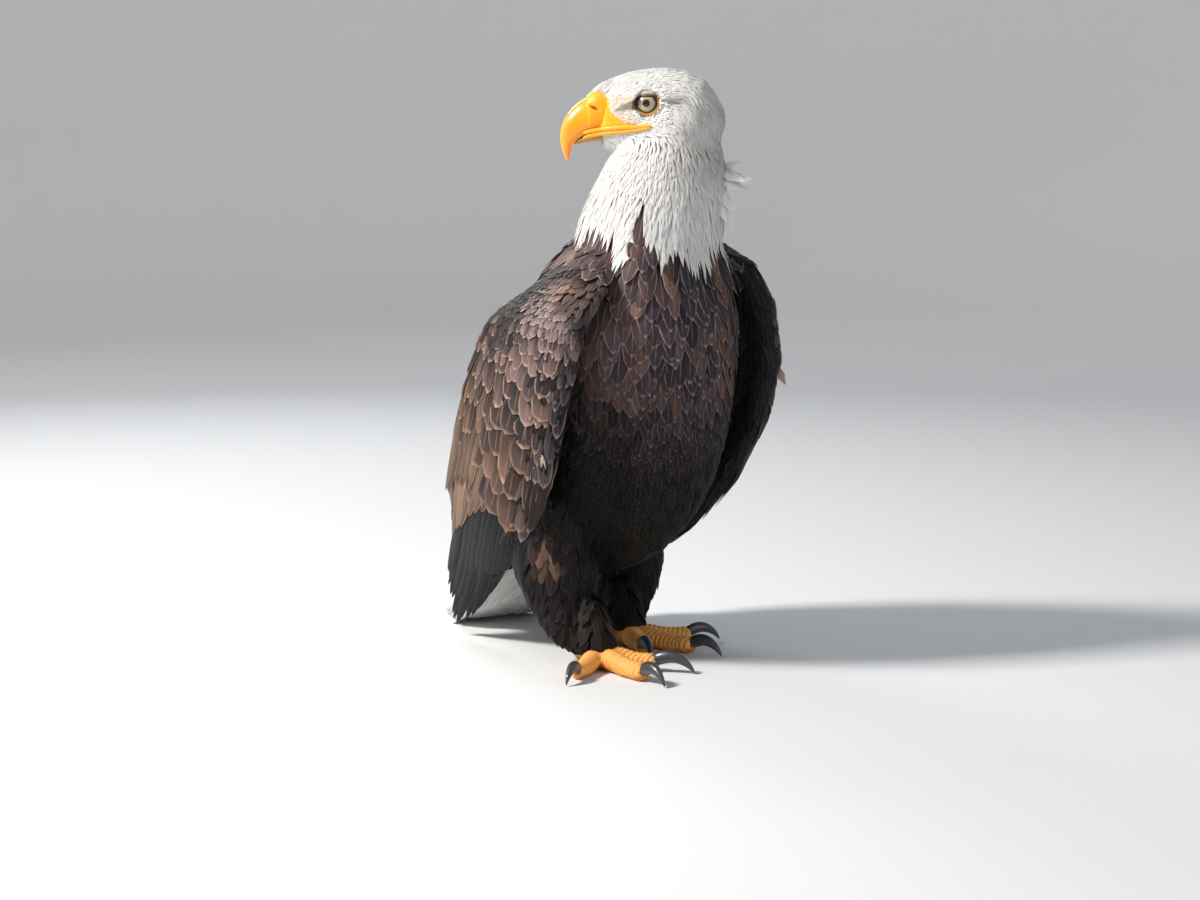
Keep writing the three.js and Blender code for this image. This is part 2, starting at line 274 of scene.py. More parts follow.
class Value:
    """A number socket, so that shader maths reads as an expression."""

    def __init__(self, tree: "Tree", socket: bpy.types.NodeSocket) -> None:
        """Keeps the socket and the tree that it is in."""
        self.tree, self.socket = tree, socket

    def _maths(self, operation: str, *terms: "Value | float", clamp: bool = False) -> "Value":
        """One Math node.

        Args:
            operation: the node's operation.
            terms: its inputs in order.
            clamp: whether its result is kept from 0 to 1.

        Returns:
            The node's result.
        """
        node = self.tree.node(
            "ShaderNodeMath",
            {"operation": operation, "use_clamp": clamp},
            {i: t.socket if isinstance(t, Value) else t for i, t in enumerate(terms)},
        )
        return Value(self.tree, node.outputs[0])

    def __add__(self, other: "Value | float") -> "Value":
        """The sum."""
        return self._maths("ADD", self, other)

    def __radd__(self, other: float) -> "Value":
        """The sum, with the number first."""
        return self._maths("ADD", other, self)

    def __sub__(self, other: "Value | float") -> "Value":
        """The difference."""
        return self._maths("SUBTRACT", self, other)

    def __rsub__(self, other: float) -> "Value":
        """The difference, with the number first."""
        return self._maths("SUBTRACT", other, self)

    def __mul__(self, other: "Value | float") -> "Value":
        """The product."""
        return self._maths("MULTIPLY", self, other)

    def __rmul__(self, other: float) -> "Value":
        """The product, with the number first."""
        return self._maths("MULTIPLY", other, self)

    def size(self) -> "Value":
        """The number without its sign."""
        return self._maths("ABSOLUTE", self)

    def held(self) -> "Value":
        """The number kept from 0 to 1."""
        return self._maths("ADD", self, 0.0, clamp=True)

    def most(self, other: "Value | float") -> "Value":
        """The larger of the two."""
        return self._maths("MAXIMUM", self, other)

    def step(self, low: float, high: float) -> "Value":
        """A smooth rise from 0 at low to 1 at high."""
        node = self.tree.node(
            "ShaderNodeMapRange",
            {"interpolation_type": "SMOOTHSTEP"},
            {"Value": self.socket, "From Min": low, "From Max": high, "To Min": 0.0, "To Max": 1.0},
        )
        return Value(self.tree, node.outputs[0])


class Tree:
    """The node tree of one new material, with its Principled shader."""

    def __init__(self, name: str) -> None:
        """Makes the material and clears all but its output and shader."""
        self.material = bpy.data.materials.new(name)
        self.material.use_nodes = True
        self.nodes = self.material.node_tree.nodes
        self.links = self.material.node_tree.links
        self.nodes.clear()
        self.shader = self.node("ShaderNodeBsdfPrincipled")
        output = self.node("ShaderNodeOutputMaterial")
        self.links.new(self.shader.outputs[0], output.inputs["Surface"])

    def _give(self, socket: bpy.types.NodeSocket, value: Any) -> None:
        """Sets a socket, or links it where the value comes from another node."""
        value = value.socket if isinstance(value, Value) else value
        if isinstance(value, bpy.types.NodeSocket):
            self.links.new(value, socket)
        elif isinstance(value, tuple) and socket.type == "RGBA":
            socket.default_value = (*value, 1.0)
        else:
            socket.default_value = value

    def node(
        self, kind: str, settings: dict[str, Any] | None = None, inputs: dict[str | int, Any] | None = None
    ) -> bpy.types.Node:
        """Any node.

        Args:
            kind: the node's type.
            settings: its own settings, which are set first.
            inputs: what each socket is set to or linked from.

        Returns:
            The node.
        """
        node = self.nodes.new(kind)
        for key, value in (settings or {}).items():
            setattr(node, key, value)
        for key, value in (inputs or {}).items():
            self._give(node.inputs[key], value)
        return node

    def attribute(self, name: str) -> bpy.types.Node:
        """A named attribute of the mesh."""
        return self.node("ShaderNodeAttribute", {"attribute_name": name})

    def mark(self, name: str) -> Value:
        """A number kept at each point of the mesh."""
        return Value(self, self.attribute(name).outputs["Fac"])

    def place(self, scale: tuple[float, float, float] = (1.0, 1.0, 1.0)) -> bpy.types.NodeSocket:
        """The point's place in the model, stretched by scale."""
        coordinates = self.node("ShaderNodeTexCoord").outputs["Object"]
        return self.node("ShaderNodeMapping", None, {"Vector": coordinates, "Scale": scale}).outputs[0]

    def chart(self, name: str) -> tuple[Value, Value]:
        """The two coordinates of a UV map."""
        parts = self.node(
            "ShaderNodeSeparateXYZ", None, {0: self.node("ShaderNodeUVMap", {"uv_map": name}).outputs[0]}
        )
        return Value(self, parts.outputs[0]), Value(self, parts.outputs[1])

    def vector(self, x: Value | float, y: Value | float, z: Value | float = 0.0) -> bpy.types.NodeSocket:
        """A vector from three numbers."""
        return self.node("ShaderNodeCombineXYZ", None, {0: x, 1: y, 2: z}).outputs[0]

    def noise(self, at: bpy.types.NodeSocket, scale: float, detail: float = 2.0, rough: float = 0.5) -> Value:
        """Cloudy noise from 0 to 1 about 0.5."""
        node = self.node(
            "ShaderNodeTexNoise", None, {"Vector": at, "Scale": scale, "Detail": detail, "Roughness": rough}
        )
        return Value(self, node.outputs[0])

    def cell_edges(self, at: bpy.types.NodeSocket, scale: float) -> Value:
        """The distance to the nearest edge in a field of cells."""
        settings = {"feature": "DISTANCE_TO_EDGE"}
        node = self.node("ShaderNodeTexVoronoi", settings, {"Vector": at, "Scale": scale})
        return Value(self, node.outputs["Distance"])

    def mix(self, share: Value | float, first: Any, second: Any) -> bpy.types.NodeSocket:
        """The first colour with a share of the second."""
        settings = {"data_type": "RGBA", "clamp_factor": True}
        return self.node("ShaderNodeMix", settings, {0: share, 6: first, 7: second}).outputs[2]

    def vectors(self, operation: str, *terms: Any) -> bpy.types.Node:
        """Vector maths on some vectors, or on a vector and its scale."""
        names = (0, "Scale") if operation == "SCALE" else range(len(terms))
        return self.node("ShaderNodeVectorMath", {"operation": operation}, dict(zip(names, terms)))

    def from_point(self, point: Array) -> bpy.types.NodeSocket:
        """The way to the point being shaded from a point of the model, in metres."""
        return self.vectors("SUBTRACT", self.place(), tuple(float(v) for v in point)).outputs[0]

    def part_along(self, vector: bpy.types.NodeSocket, axis: Array) -> Value:
        """A vector's part along an axis."""
        found = self.vectors("DOT_PRODUCT", vector, tuple(float(v) for v in axis))
        return Value(self, found.outputs["Value"])

    def set(self, **constants: Any) -> None:
        """Constants on the shader's own sockets; underscores stand for spaces."""
        for key, value in constants.items():
            self._give(self.shader.inputs[key.replace("_", " ")], value)

    def finish(
        self, colour: Any, rough: Value, height: Value, depth: float, strength: float, **constants: Any
    ) -> bpy.types.Material:
        """Gives the shader all that varies over the surface, and the constants.

        Args:
            colour: the base colour.
            rough: the roughness.
            height: the bump's height, from 0 to 1.
            depth: how far 1 stands proud, in metres.
            strength: how strongly the bump shades.
            constants: the shader's other sockets.

        Returns:
            The material.
        """
        bump = self.node("ShaderNodeBump", None, {"Height": height, "Distance": depth, "Strength": strength})
        self.set(Base_Color=colour, Roughness=rough, Normal=bump.outputs[0], **constants)
        return self.material


# ------------------------------------------------------------------------------------------- the guide


@dataclass(frozen=True)
class WingPlan:
    """The middle line of a folded wing, from the shoulder to the tip, and how its face looks outwards."""

    side: Side
    line: tuple[tuple[float, float, float], ...]  # aside, y and z, mm

    def spine(self) -> Array:
        """The middle line as bird points."""
        return np.array([(self.side.value * x, y, z) for x, y, z in self.line])

    def along(self) -> Array:
        """The length from the shoulder at each point of the line, in mm."""
        steps = np.linalg.norm(np.diff(self.spine(), axis=0), axis=1)
        return np.concatenate([[0.0], np.cumsum(steps)])

    def at(self, reach: Array | float) -> Array:
        """The point of the line at a length from the shoulder."""
        return between(reach, self.along(), self.spine())

    def heading(self, reach: Array | float) -> Array:
        """The line's direction at a length from the shoulder."""
        reach = np.asarray(reach, float)
        return unit(self.at(reach + 12.0) - self.at(reach - 12.0) + np.array([0.0, 1e-6, -1e-6]))

    def chord(self, reach: Array | float) -> Array:
        """The direction from the wing's front edge to its back edge."""
        heading = self.heading(reach)
        back = np.broadcast_to(np.array([0.0, 1.0, 0.0]), heading.shape)
        return flat_part(back, heading)

    def outward(self, reach: Array | float) -> Array:
        """The direction in which the wing's outer face looks."""
        turn = np.cross(self.heading(reach), self.chord(reach))
        side = np.sign(turn[..., :1]) * self.side.value
        return turn * np.where(side == 0, 1.0, side)

    def nearest(self, points: Array) -> Array:
        """The length from the shoulder of the line's point nearest to each point."""
        spine, along = self.spine(), self.along()
        best, found = np.full(len(points), 1e9), np.zeros(len(points))
        for i in range(len(spine) - 1):
            leg = spine[i + 1] - spine[i]
            share = ((points - spine[i]) @ leg) / (leg @ leg)
            share = np.clip(share, 0.0 if i else -1.0, 1.0 if i < len(spine) - 2 else 2.0)
            away = np.linalg.norm(points - (spine[i] + share[:, None] * leg), axis=1)
            closer = away < best
            best = np.where(closer, away, best)
            found = np.where(closer, along[i] + share * (along[i + 1] - along[i]), found)
        return found


TROUSERS = ("ankle_right", "ankle_left")

WINGS = {
    Side.RIGHT: WingPlan(
        Side.RIGHT,
        (
            (104, -30, 400), (108, -32, 358), (112, -30, 318), (117, -14, 262),
            (114, 10, 200), (106, 52, 138), (94, 104, 82), (79, 158, 36),
        ),
    ),
    Side.LEFT: WingPlan(
        Side.LEFT,
        (
            (108, -18, 400), (114, -22, 364), (121, -26, 330), (130, -14, 276),
            (127, 12, 212), (112, 56, 148), (93, 106, 88), (76, 160, 40),
        ),
    ),
}


@dataclass
class Guide:
    """The smooth outside of the plumage: the flesh nodes fused into one closed surface, in bird millimetres.

    Every feather lies along it, and the skin is the same surface drawn in by the depth of the coat.
    """

    frame: BirdFrame
    nodes: dict[str, bpy.types.Object]
    voxel: float = 2.5
    grow: float = 0.45
    trouser_grow: float = 9.5  # how far the leg feathers stand out round the shank
    trouser_foot: float = 21.0  # where the shank leaves them
    relax_rounds: int = 22
    nape_rounds: int = 90
    brow_height: float = 7.9  # over the eyes' middle
    brow_depth: float = 7.0  # how far the brows stand out
    crown_dip: float = -0.8
    occiput_in: float = 8.5
    # The eye's hollow, lore, cheek and ear: how far each rises, its middle (forward, up) and its size.
    hills: tuple[tuple[float, tuple[float, float], tuple[float, float]], ...] = (
        (-3.0, (0.0, -1.5), (12.0, 8.5)), (-2.6, (21.0, -3.0), (10.0, 7.5)),
        (1.8, (-8.0, -26.0), (20.0, 12.0)), (-0.9, (-26.0, -8.0), (9.0, 9.0)),
    )
    shoulder_in: tuple[float, float, float] = (15.0, -4.0, -9.0)  # the right shoulder is carried closer in
    corner_in: tuple[float, float, float] = (5.0, 0.0, -8.0)  # and its upper corner further
    wing_end_slim: float = 0.62  # how much of a wing end's width goes
    wing_end_back: float = 30.0  # how far a wing's end is drawn back
    lie_rounds: int = 14
    far: float = 60.0  # how far the body's thickness is looked for
    depth_share: float = 0.34  # the most of the thickness that the coat may take
    least_depth: float = 0.15
    mesh: bpy.types.Mesh = field(init=False)
    points: Array = field(init=False)
    tris: Array = field(init=False)
    edges: Array = field(init=False)
    normals: Array = field(init=False)
    zone: Array = field(init=False)
    lie: Array = field(init=False)
    depth: Array = field(init=False)
    tree: BVHTree = field(init=False)

    def build(self) -> None:
        """Fuses, smooths and sculpts the surface, then works out its zones, lie and depth."""
        self.mesh = self._fused()
        self._refine_face()
        self._read()
        self.points = self._relaxed(self.points, self.relax_rounds)
        self.points = self._nape_filled(self.points)
        self.zone = self._zones()
        self.points = self._sculpted(self.points)
        self.normals = self._normals(self.points)
        self.depth = self._depths()
        self.tree = BVHTree.FromPolygons(self.points.tolist(), self.tris.tolist())
        self._thin_depth()
        self.lie = self._lie()
        self.tri_normals = unit(self.normals[self.tris].mean(axis=1))
        self.tri_lie = flat_part(self.lie[self.tris].mean(axis=1), self.tri_normals)
        self.tri_depth = self.depth[self.tris].mean(axis=1)
        self.tri_zone = self.zone[self.tris[:, 0]]
        corners = self.points[self.tris]
        cross = np.cross(corners[:, 1] - corners[:, 0], corners[:, 2] - corners[:, 0])
        self.tri_area = 0.5 * np.linalg.norm(cross, axis=1)
        self.centres = corners.mean(axis=1)

    def _fused(self) -> bpy.types.Mesh:
        """The flesh nodes, each grown a little so that neighbours meet, remeshed as one body."""
        growth = {name: self.trouser_grow if name in TROUSERS else self.grow for name in (*FLESH, *TROUSERS)}
        ob = fused("fused", self.nodes, growth, self.trouser_foot, TROUSERS)
        remesh = ob.modifiers.new("remesh", "REMESH")
        remesh.mode, remesh.voxel_size, remesh.adaptivity = "VOXEL", self.voxel * MM, 0.0
        made = evaluated(ob)
        bpy.data.objects.remove(ob)
        return self._largest(made)

    def _largest(self, mesh: bpy.types.Mesh) -> bpy.types.Mesh:
        """Only the largest connected body of a mesh, without bubbles inside."""
        bm = bmesh.new()
        bm.from_mesh(mesh)
        left, bodies = set(bm.verts), []
        while left:
            seed = left.pop()
            body, front = {seed}, [seed]
            while front:
                vert = front.pop()
                for edge in vert.link_edges:
                    other = edge.other_vert(vert)
                    if other in left:
                        left.discard(other)
                        body.add(other)
                        front.append(other)
            bodies.append(body)
        bodies.sort(key=len)
        for body in bodies[:-1]:
            bmesh.ops.delete(bm, geom=list(body), context="VERTS")
        bm.to_mesh(mesh)
        bm.free()
        return mesh

    def _refine_face(self) -> None:
        """Finer faces on both sides of the head between the bill and the ears, for the brows and lids."""
        bm = bmesh.new()
        bm.from_mesh(self.mesh)
        local = self.frame.head_local(self.frame.to_bird(np.array([v.co for v in bm.verts])))
        inside = (local[:, 0] > -24) & (local[:, 0] < 48) & (np.abs(local[:, 2] + 3) < 27)
        inside &= np.abs(local[:, 1]) > 6
        chosen = [e for e in bm.edges if inside[e.verts[0].index] and inside[e.verts[1].index]]
        bmesh.ops.subdivide_edges(bm, edges=chosen, cuts=1, use_grid_fill=True)
        bm.to_mesh(self.mesh)
        bm.free()

    def _read(self) -> None:
        """Copies the mesh's points, triangles and edges into arrays."""
        mesh = self.mesh
        mesh.calc_loop_triangles()
        self.points = self.frame.to_bird(np.array([v.co for v in mesh.vertices]))
        self.tris = np.array([t.vertices for t in mesh.loop_triangles])
        self.edges = np.array([e.vertices for e in mesh.edges])

    def _spread(self, rows: Array) -> Array:
        """The mean of each point's neighbours."""
        first, second = self.edges[:, 0], self.edges[:, 1]
        count = len(self.points)
        near = np.bincount(first, minlength=count) + np.bincount(second, minlength=count)
        out = np.empty((count, rows.shape[1]))
        for i in range(rows.shape[1]):
            column = rows[:, i]
            out[:, i] = np.bincount(first, column[second], count) + np.bincount(second, column[first], count)
        return out / np.maximum(near, 1)[:, None]

    def _relaxed(self, points: Array, rounds: int) -> Array:
        """The points smoothed without shrinking."""
        for _ in range(rounds):
            for pull in (0.52, -0.54):
                points = points + pull * (self._spread(points) - points)
        return points

    def _nape_filled(self, points: Array) -> Array:
        """The crease between head and neck drawn smooth."""
        local = self.frame.head_local(points)
        here = ramp(-14, -40, local[:, 2]) * ramp(-125, -90, local[:, 2]) * ramp(26, 6, local[:, 0])
        for _ in range(self.nape_rounds):
            points = points + (0.5 * here)[:, None] * (self._spread(points) - points)
        return points

    def _normals(self, points: Array) -> Array:
        """The normal at each point."""
        corners = points[self.tris]
        cross = np.cross(corners[:, 1] - corners[:, 0], corners[:, 2] - corners[:, 0])
        out = np.zeros_like(points)
        for k in range(3):
            for i in range(3):
                out[:, i] += np.bincount(self.tris[:, k], cross[:, i], len(points))
        return unit(out)

    def _sculpted(self, points: Array) -> Array:
        """The head's brows, eye hollows, lores and cheeks, moved along the normals."""
        local = self.frame.head_local(points)
        x, y, z = local[:, 0], np.abs(local[:, 1]), local[:, 2]
        head = (x > -75) & (x < 60) & (z > -75)
        beside = ramp(4.0, 14.0, y)
        brow_line = self.brow_height - np.where(x > 0, 0.012, 0.003) * x * x
        brow_side = np.where(z < brow_line, 2.6, 7.0)
        brow = self.brow_depth * hump(z, brow_line, brow_side) * ramp(-38, -12, x) * ramp(36, 14, x)
        crown = self.crown_dip * hump(local[:, 1], 0.0, 6.0) * ramp(10, 24, z) * ramp(44, 20, x)
        hills = sum(rise * mound(x, z, middle, size) for rise, middle, size in self.hills)
        move = hills * beside + crown
        outwards = np.sign(local[:, 1:2]) * self.frame.leftward
        moved = points + self._normals(points) * (move * head)[:, None]
        moved = moved + (outwards - np.array([0.0, 0.0, 0.35])) * (brow * beside * head)[:, None]
        occiput = self.occiput_in * hump(z, 8.0, 20.0) * ramp(-18, -84, x)
        moved = moved + np.outer(occiput * (z > -60), self.frame.ahead)
        shoulder = ramp(312, 372, points[:, 2]) * ramp(-40, -96, points[:, 0])
        corner = ramp(356, 394, points[:, 2]) * ramp(-26, -74, points[:, 0]) * ramp(60, 0, points[:, 1])
        moved = moved + np.outer(shoulder, self.shoulder_in) + np.outer(corner, self.corner_in)
        return self._wing_ends(moved)

    def _wing_ends(self, points: Array) -> Array:
        """The folded wings' ends drawn in, so that the longest feathers stand past them."""
        out = points.copy()
        for side, plan in WINGS.items():
            here = lies_in(self.zone, Zone.FLIGHT) & (self.wing_side(points) == side.value)
            reach = plan.nearest(points[here])
            near = ramp(280, 425, reach)[:, None]
            middle = plan.at(reach) + 14.0 * plan.chord(reach)
            slim = points[here] + self.wing_end_slim * near * (middle - points[here])
            out[here] = slim - plan.heading(reach) * self.wing_end_back * ramp(380, 440, reach)[:, None]
        return out

    def _zones(self) -> Array:
        """The zone of the flesh node nearest to each point."""
        corners: list[Array] = []
        owners: list[int] = []
        for name, zone in FLESH.items():
            mesh = self.nodes[name].data
            mesh.calc_loop_triangles()
            at = self.frame.to_bird(np.array([v.co for v in mesh.vertices]))
            index = np.array([t.vertices for t in mesh.loop_triangles])
            corners.append(at[index].reshape(-1, 3))
            owners += [zone.value] * len(index)
        soup = np.concatenate(corners)
        tree = BVHTree.FromPolygons(soup.tolist(), np.arange(len(soup)).reshape(-1, 3).tolist())
        return np.array([owners[tree.find_nearest(p)[2]] for p in self.points.tolist()])

    def _depths(self) -> Array:
        """How deep the coat lies over the skin at each point, before thin places are spared."""
        table = {
            Zone.HEAD: 1.4, Zone.NECK: 3.6, Zone.TRUNK: 6.0, Zone.THIGH: 5.0,
            Zone.COVERTS: 3.2, Zone.FLIGHT: 2.2, Zone.TAIL: 1.6,
        }
        depth = np.array([table[zone] for zone in Zone])[self.zone]
        local = self.frame.head_local(self.points)
        face = ramp(6, 30, local[:, 0]) * (local[:, 2] > -45)
        depth = depth * (1 - face) + 0.7 * face
        for _ in range(6):
            depth = 0.4 * depth + 0.6 * self._spread(depth[:, None])[:, 0]
        return depth

    def _thin_depth(self) -> None:
        """Keeps the coat's depth under about a third of the body's thickness."""
        inner = self.points - self.normals * 0.05
        pairs = zip(inner.tolist(), (-self.normals).tolist())
        thick = np.array([self.tree.ray_cast(p, d, self.far)[3] or self.far for p, d in pairs])
        self.depth = np.minimum(self.depth, np.maximum(self.depth_share * thick, self.least_depth))
        for _ in range(2):
            self.depth = 0.6 * self.depth + 0.4 * self._spread(self.depth[:, None])[:, 0]

    def wing_side(self, points: Array) -> Array:
        """-1 for the bird's right half and 1 for its left."""
        return np.where(points[:, 0] < 0, -1, 1)

    def _lie(self) -> Array:
        """The way the feathers point at each spot, along the surface."""
        points, zone = self.points, self.zone
        lie = np.tile(np.array([0.0, 0.36, -1.0]), (len(points), 1))
        local = self.frame.head_local(points)
        from_bill = unit(local - np.array([54.0, 0.0, -6.0]))
        downward = ramp(4.0, -62.0, local[:, 0]) * 0.92
        mixed = from_bill * (1 - downward)[:, None] + np.array([-0.15, 0.0, -1.0]) * downward[:, None]
        throat = ramp(-30.0, -64.0, local[:, 2])[:, None]
        mixed = mixed * (1 - throat) + np.array([-0.12, 0.0, -1.0]) * throat
        head = lies_in(zone, Zone.HEAD)
        lie[head] = self.frame.head_turn(mixed)[head]
        lie[lies_in(zone, Zone.NECK, Zone.THIGH)] = (0.0, 0.10, -1.0)
        lie[lies_in(zone, Zone.TRUNK) & (points[:, 1] < 0) & (points[:, 2] > 230)] = (0.0, 0.08, -1.0)
        tail = lies_in(zone, Zone.TAIL)
        lie[tail] = (0.0, 0.82, -0.57)
        lie[tail, 0] = points[tail, 0] * 0.004
        for side, plan in WINGS.items():
            here = lies_in(zone, *WING_ZONES) & (self.wing_side(points) == side.value)
            reach = plan.nearest(points[here])
            across = np.sum((points[here] - plan.at(reach)) * plan.chord(reach), axis=1)
            lean = np.interp(reach, [0, 60, 150, 300, 420], [0.0, 0.0, 0.0, -0.05, -0.12])
            turn = lean * np.clip(across / 70.0, -1.5, 1.5)
            lie[here] = plan.heading(reach) + plan.chord(reach) * turn[:, None]
        lie = flat_part(lie, self.normals)
        for _ in range(self.lie_rounds):
            lie = flat_part(0.35 * lie + 0.65 * self._spread(lie), self.normals)
        return lie

    def near(self, points: Array) -> tuple[Array, Array, Array]:
        """The nearest place on the surface to each point.

        Args:
            points: rows of bird points.

        Returns:
            The places, their triangles, and how far each point is from its place.
        """
        found = [self.tree.find_nearest(p) for p in points.tolist()]
        places = np.array([f[0] for f in found])
        return places, np.array([f[2] for f in found]), np.array([f[3] for f in found])

    def scatter(
        self, spacing: Array | float, allowed: Array, rng: np.random.Generator, crowd: float = 6.0
    ) -> tuple[Array, Array]:
        """Random places on the surface that keep a distance from each other.

        Args:
            spacing: the distance to keep, everywhere or in each triangle, in mm.
            allowed: True for each triangle that may be used.
            rng: the source of random numbers.
            crowd: how many places are tried for each one kept.

        Returns:
            The places and their triangles.
        """
        gap = np.broadcast_to(spacing, len(self.tris))
        weight = np.where(allowed, self.tri_area / gap**2, 0.0)
        total = np.cumsum(weight)
        count = int(crowd * total[-1]) + 1
        chosen = np.searchsorted(total, rng.random(count) * total[-1])
        share = rng.random((count, 2))
        over = share.sum(axis=1) > 1
        share[over] = 1 - share[over]
        corners = self.points[self.tris[chosen]]
        at = corners[:, 0] + share[:, :1] * (corners[:, 1] - corners[:, 0])
        at = at + share[:, 1:] * (corners[:, 2] - corners[:, 0])
        tree = KDTree(count)
        rows = at.tolist()
        for i, row in enumerate(rows):
            tree.insert(row, i)
        tree.balance()
        reach, facing = gap[chosen], self.tri_normals[chosen]
        free = np.ones(count, bool)
        kept = []
        for i in range(count):
            if free[i]:
                kept.append(i)
                close = np.array([j for _, j, _ in tree.find_range(rows[i], reach[i])])
                free[close[facing[close] @ facing[i] > 0.0]] = False
        return at[kept], chosen[kept]


# ------------------------------------------------------------------------------------------- feathers


@dataclass(frozen=True)
class VaneCut:
    """How the feathers of a tract are cut and laid."""

    rings: int = 6
    columns: int = 3
    base: float = 0.45  # half width at the root, as a share of the most
    widest: float = 0.55  # where along its length it is widest
    round_off: float = 2.0  # how late the sides turn in to the tip
    blunt: float = 0.6  # small for a blunt tip, 1 or more for a pointed one
    camber: float = 0.16  # how far the margins droop, as a share of the half width
    thick: float = 0.35  # mm at the shaft
    stick: float = 0.85  # how closely it follows the body
    steer: float = 0.45  # how readily it turns with the lie
    sway: float = 0.07  # random turn to either side
    roll: float = 0.12  # random tilt of the margins
    lay: float = 0.0  # the same tilt for all
    bend: float = 0.03  # random sideways curve, as a share of the length
    fray: float = 0.06  # roughness of the margins
    notch: float = 0.03  # how often a margin is split
    bow: float = 0.8  # below 1 the feather rises soon after its root
    cling: float = 1.2  # how far off the body it still follows it, in steps
    locks: float = 0.0  # how strongly neighbours gather into locks
    free: bool = False  # whether it keeps its own heading instead of lying on the body


@dataclass
class Plumes:
    """The feathers of one tract: where each is rooted, its size and its colours."""

    at: Array
    tri: Array
    length: Array
    half: Array
    lift: Array
    plume: Array
    rim: Array
    edge: Array
    heading: Array | None = None
    sink: Array | None = None
    leave: Array | None = None  # the length after which it stands free of the body
    aim: Array | None = None  # the direction it then takes
    face: Array | None = None  # where a free feather's top looks

    @staticmethod
    def joined(parts: Sequence["Plumes"]) -> "Plumes":
        """Several lots of feathers as one."""

        def stack(name: str) -> Array | None:
            """One column of every lot."""
            rows = [getattr(p, name) for p in parts]
            return None if rows[0] is None else np.concatenate(rows)

        return Plumes(*(stack(column.name) for column in fields(Plumes)))


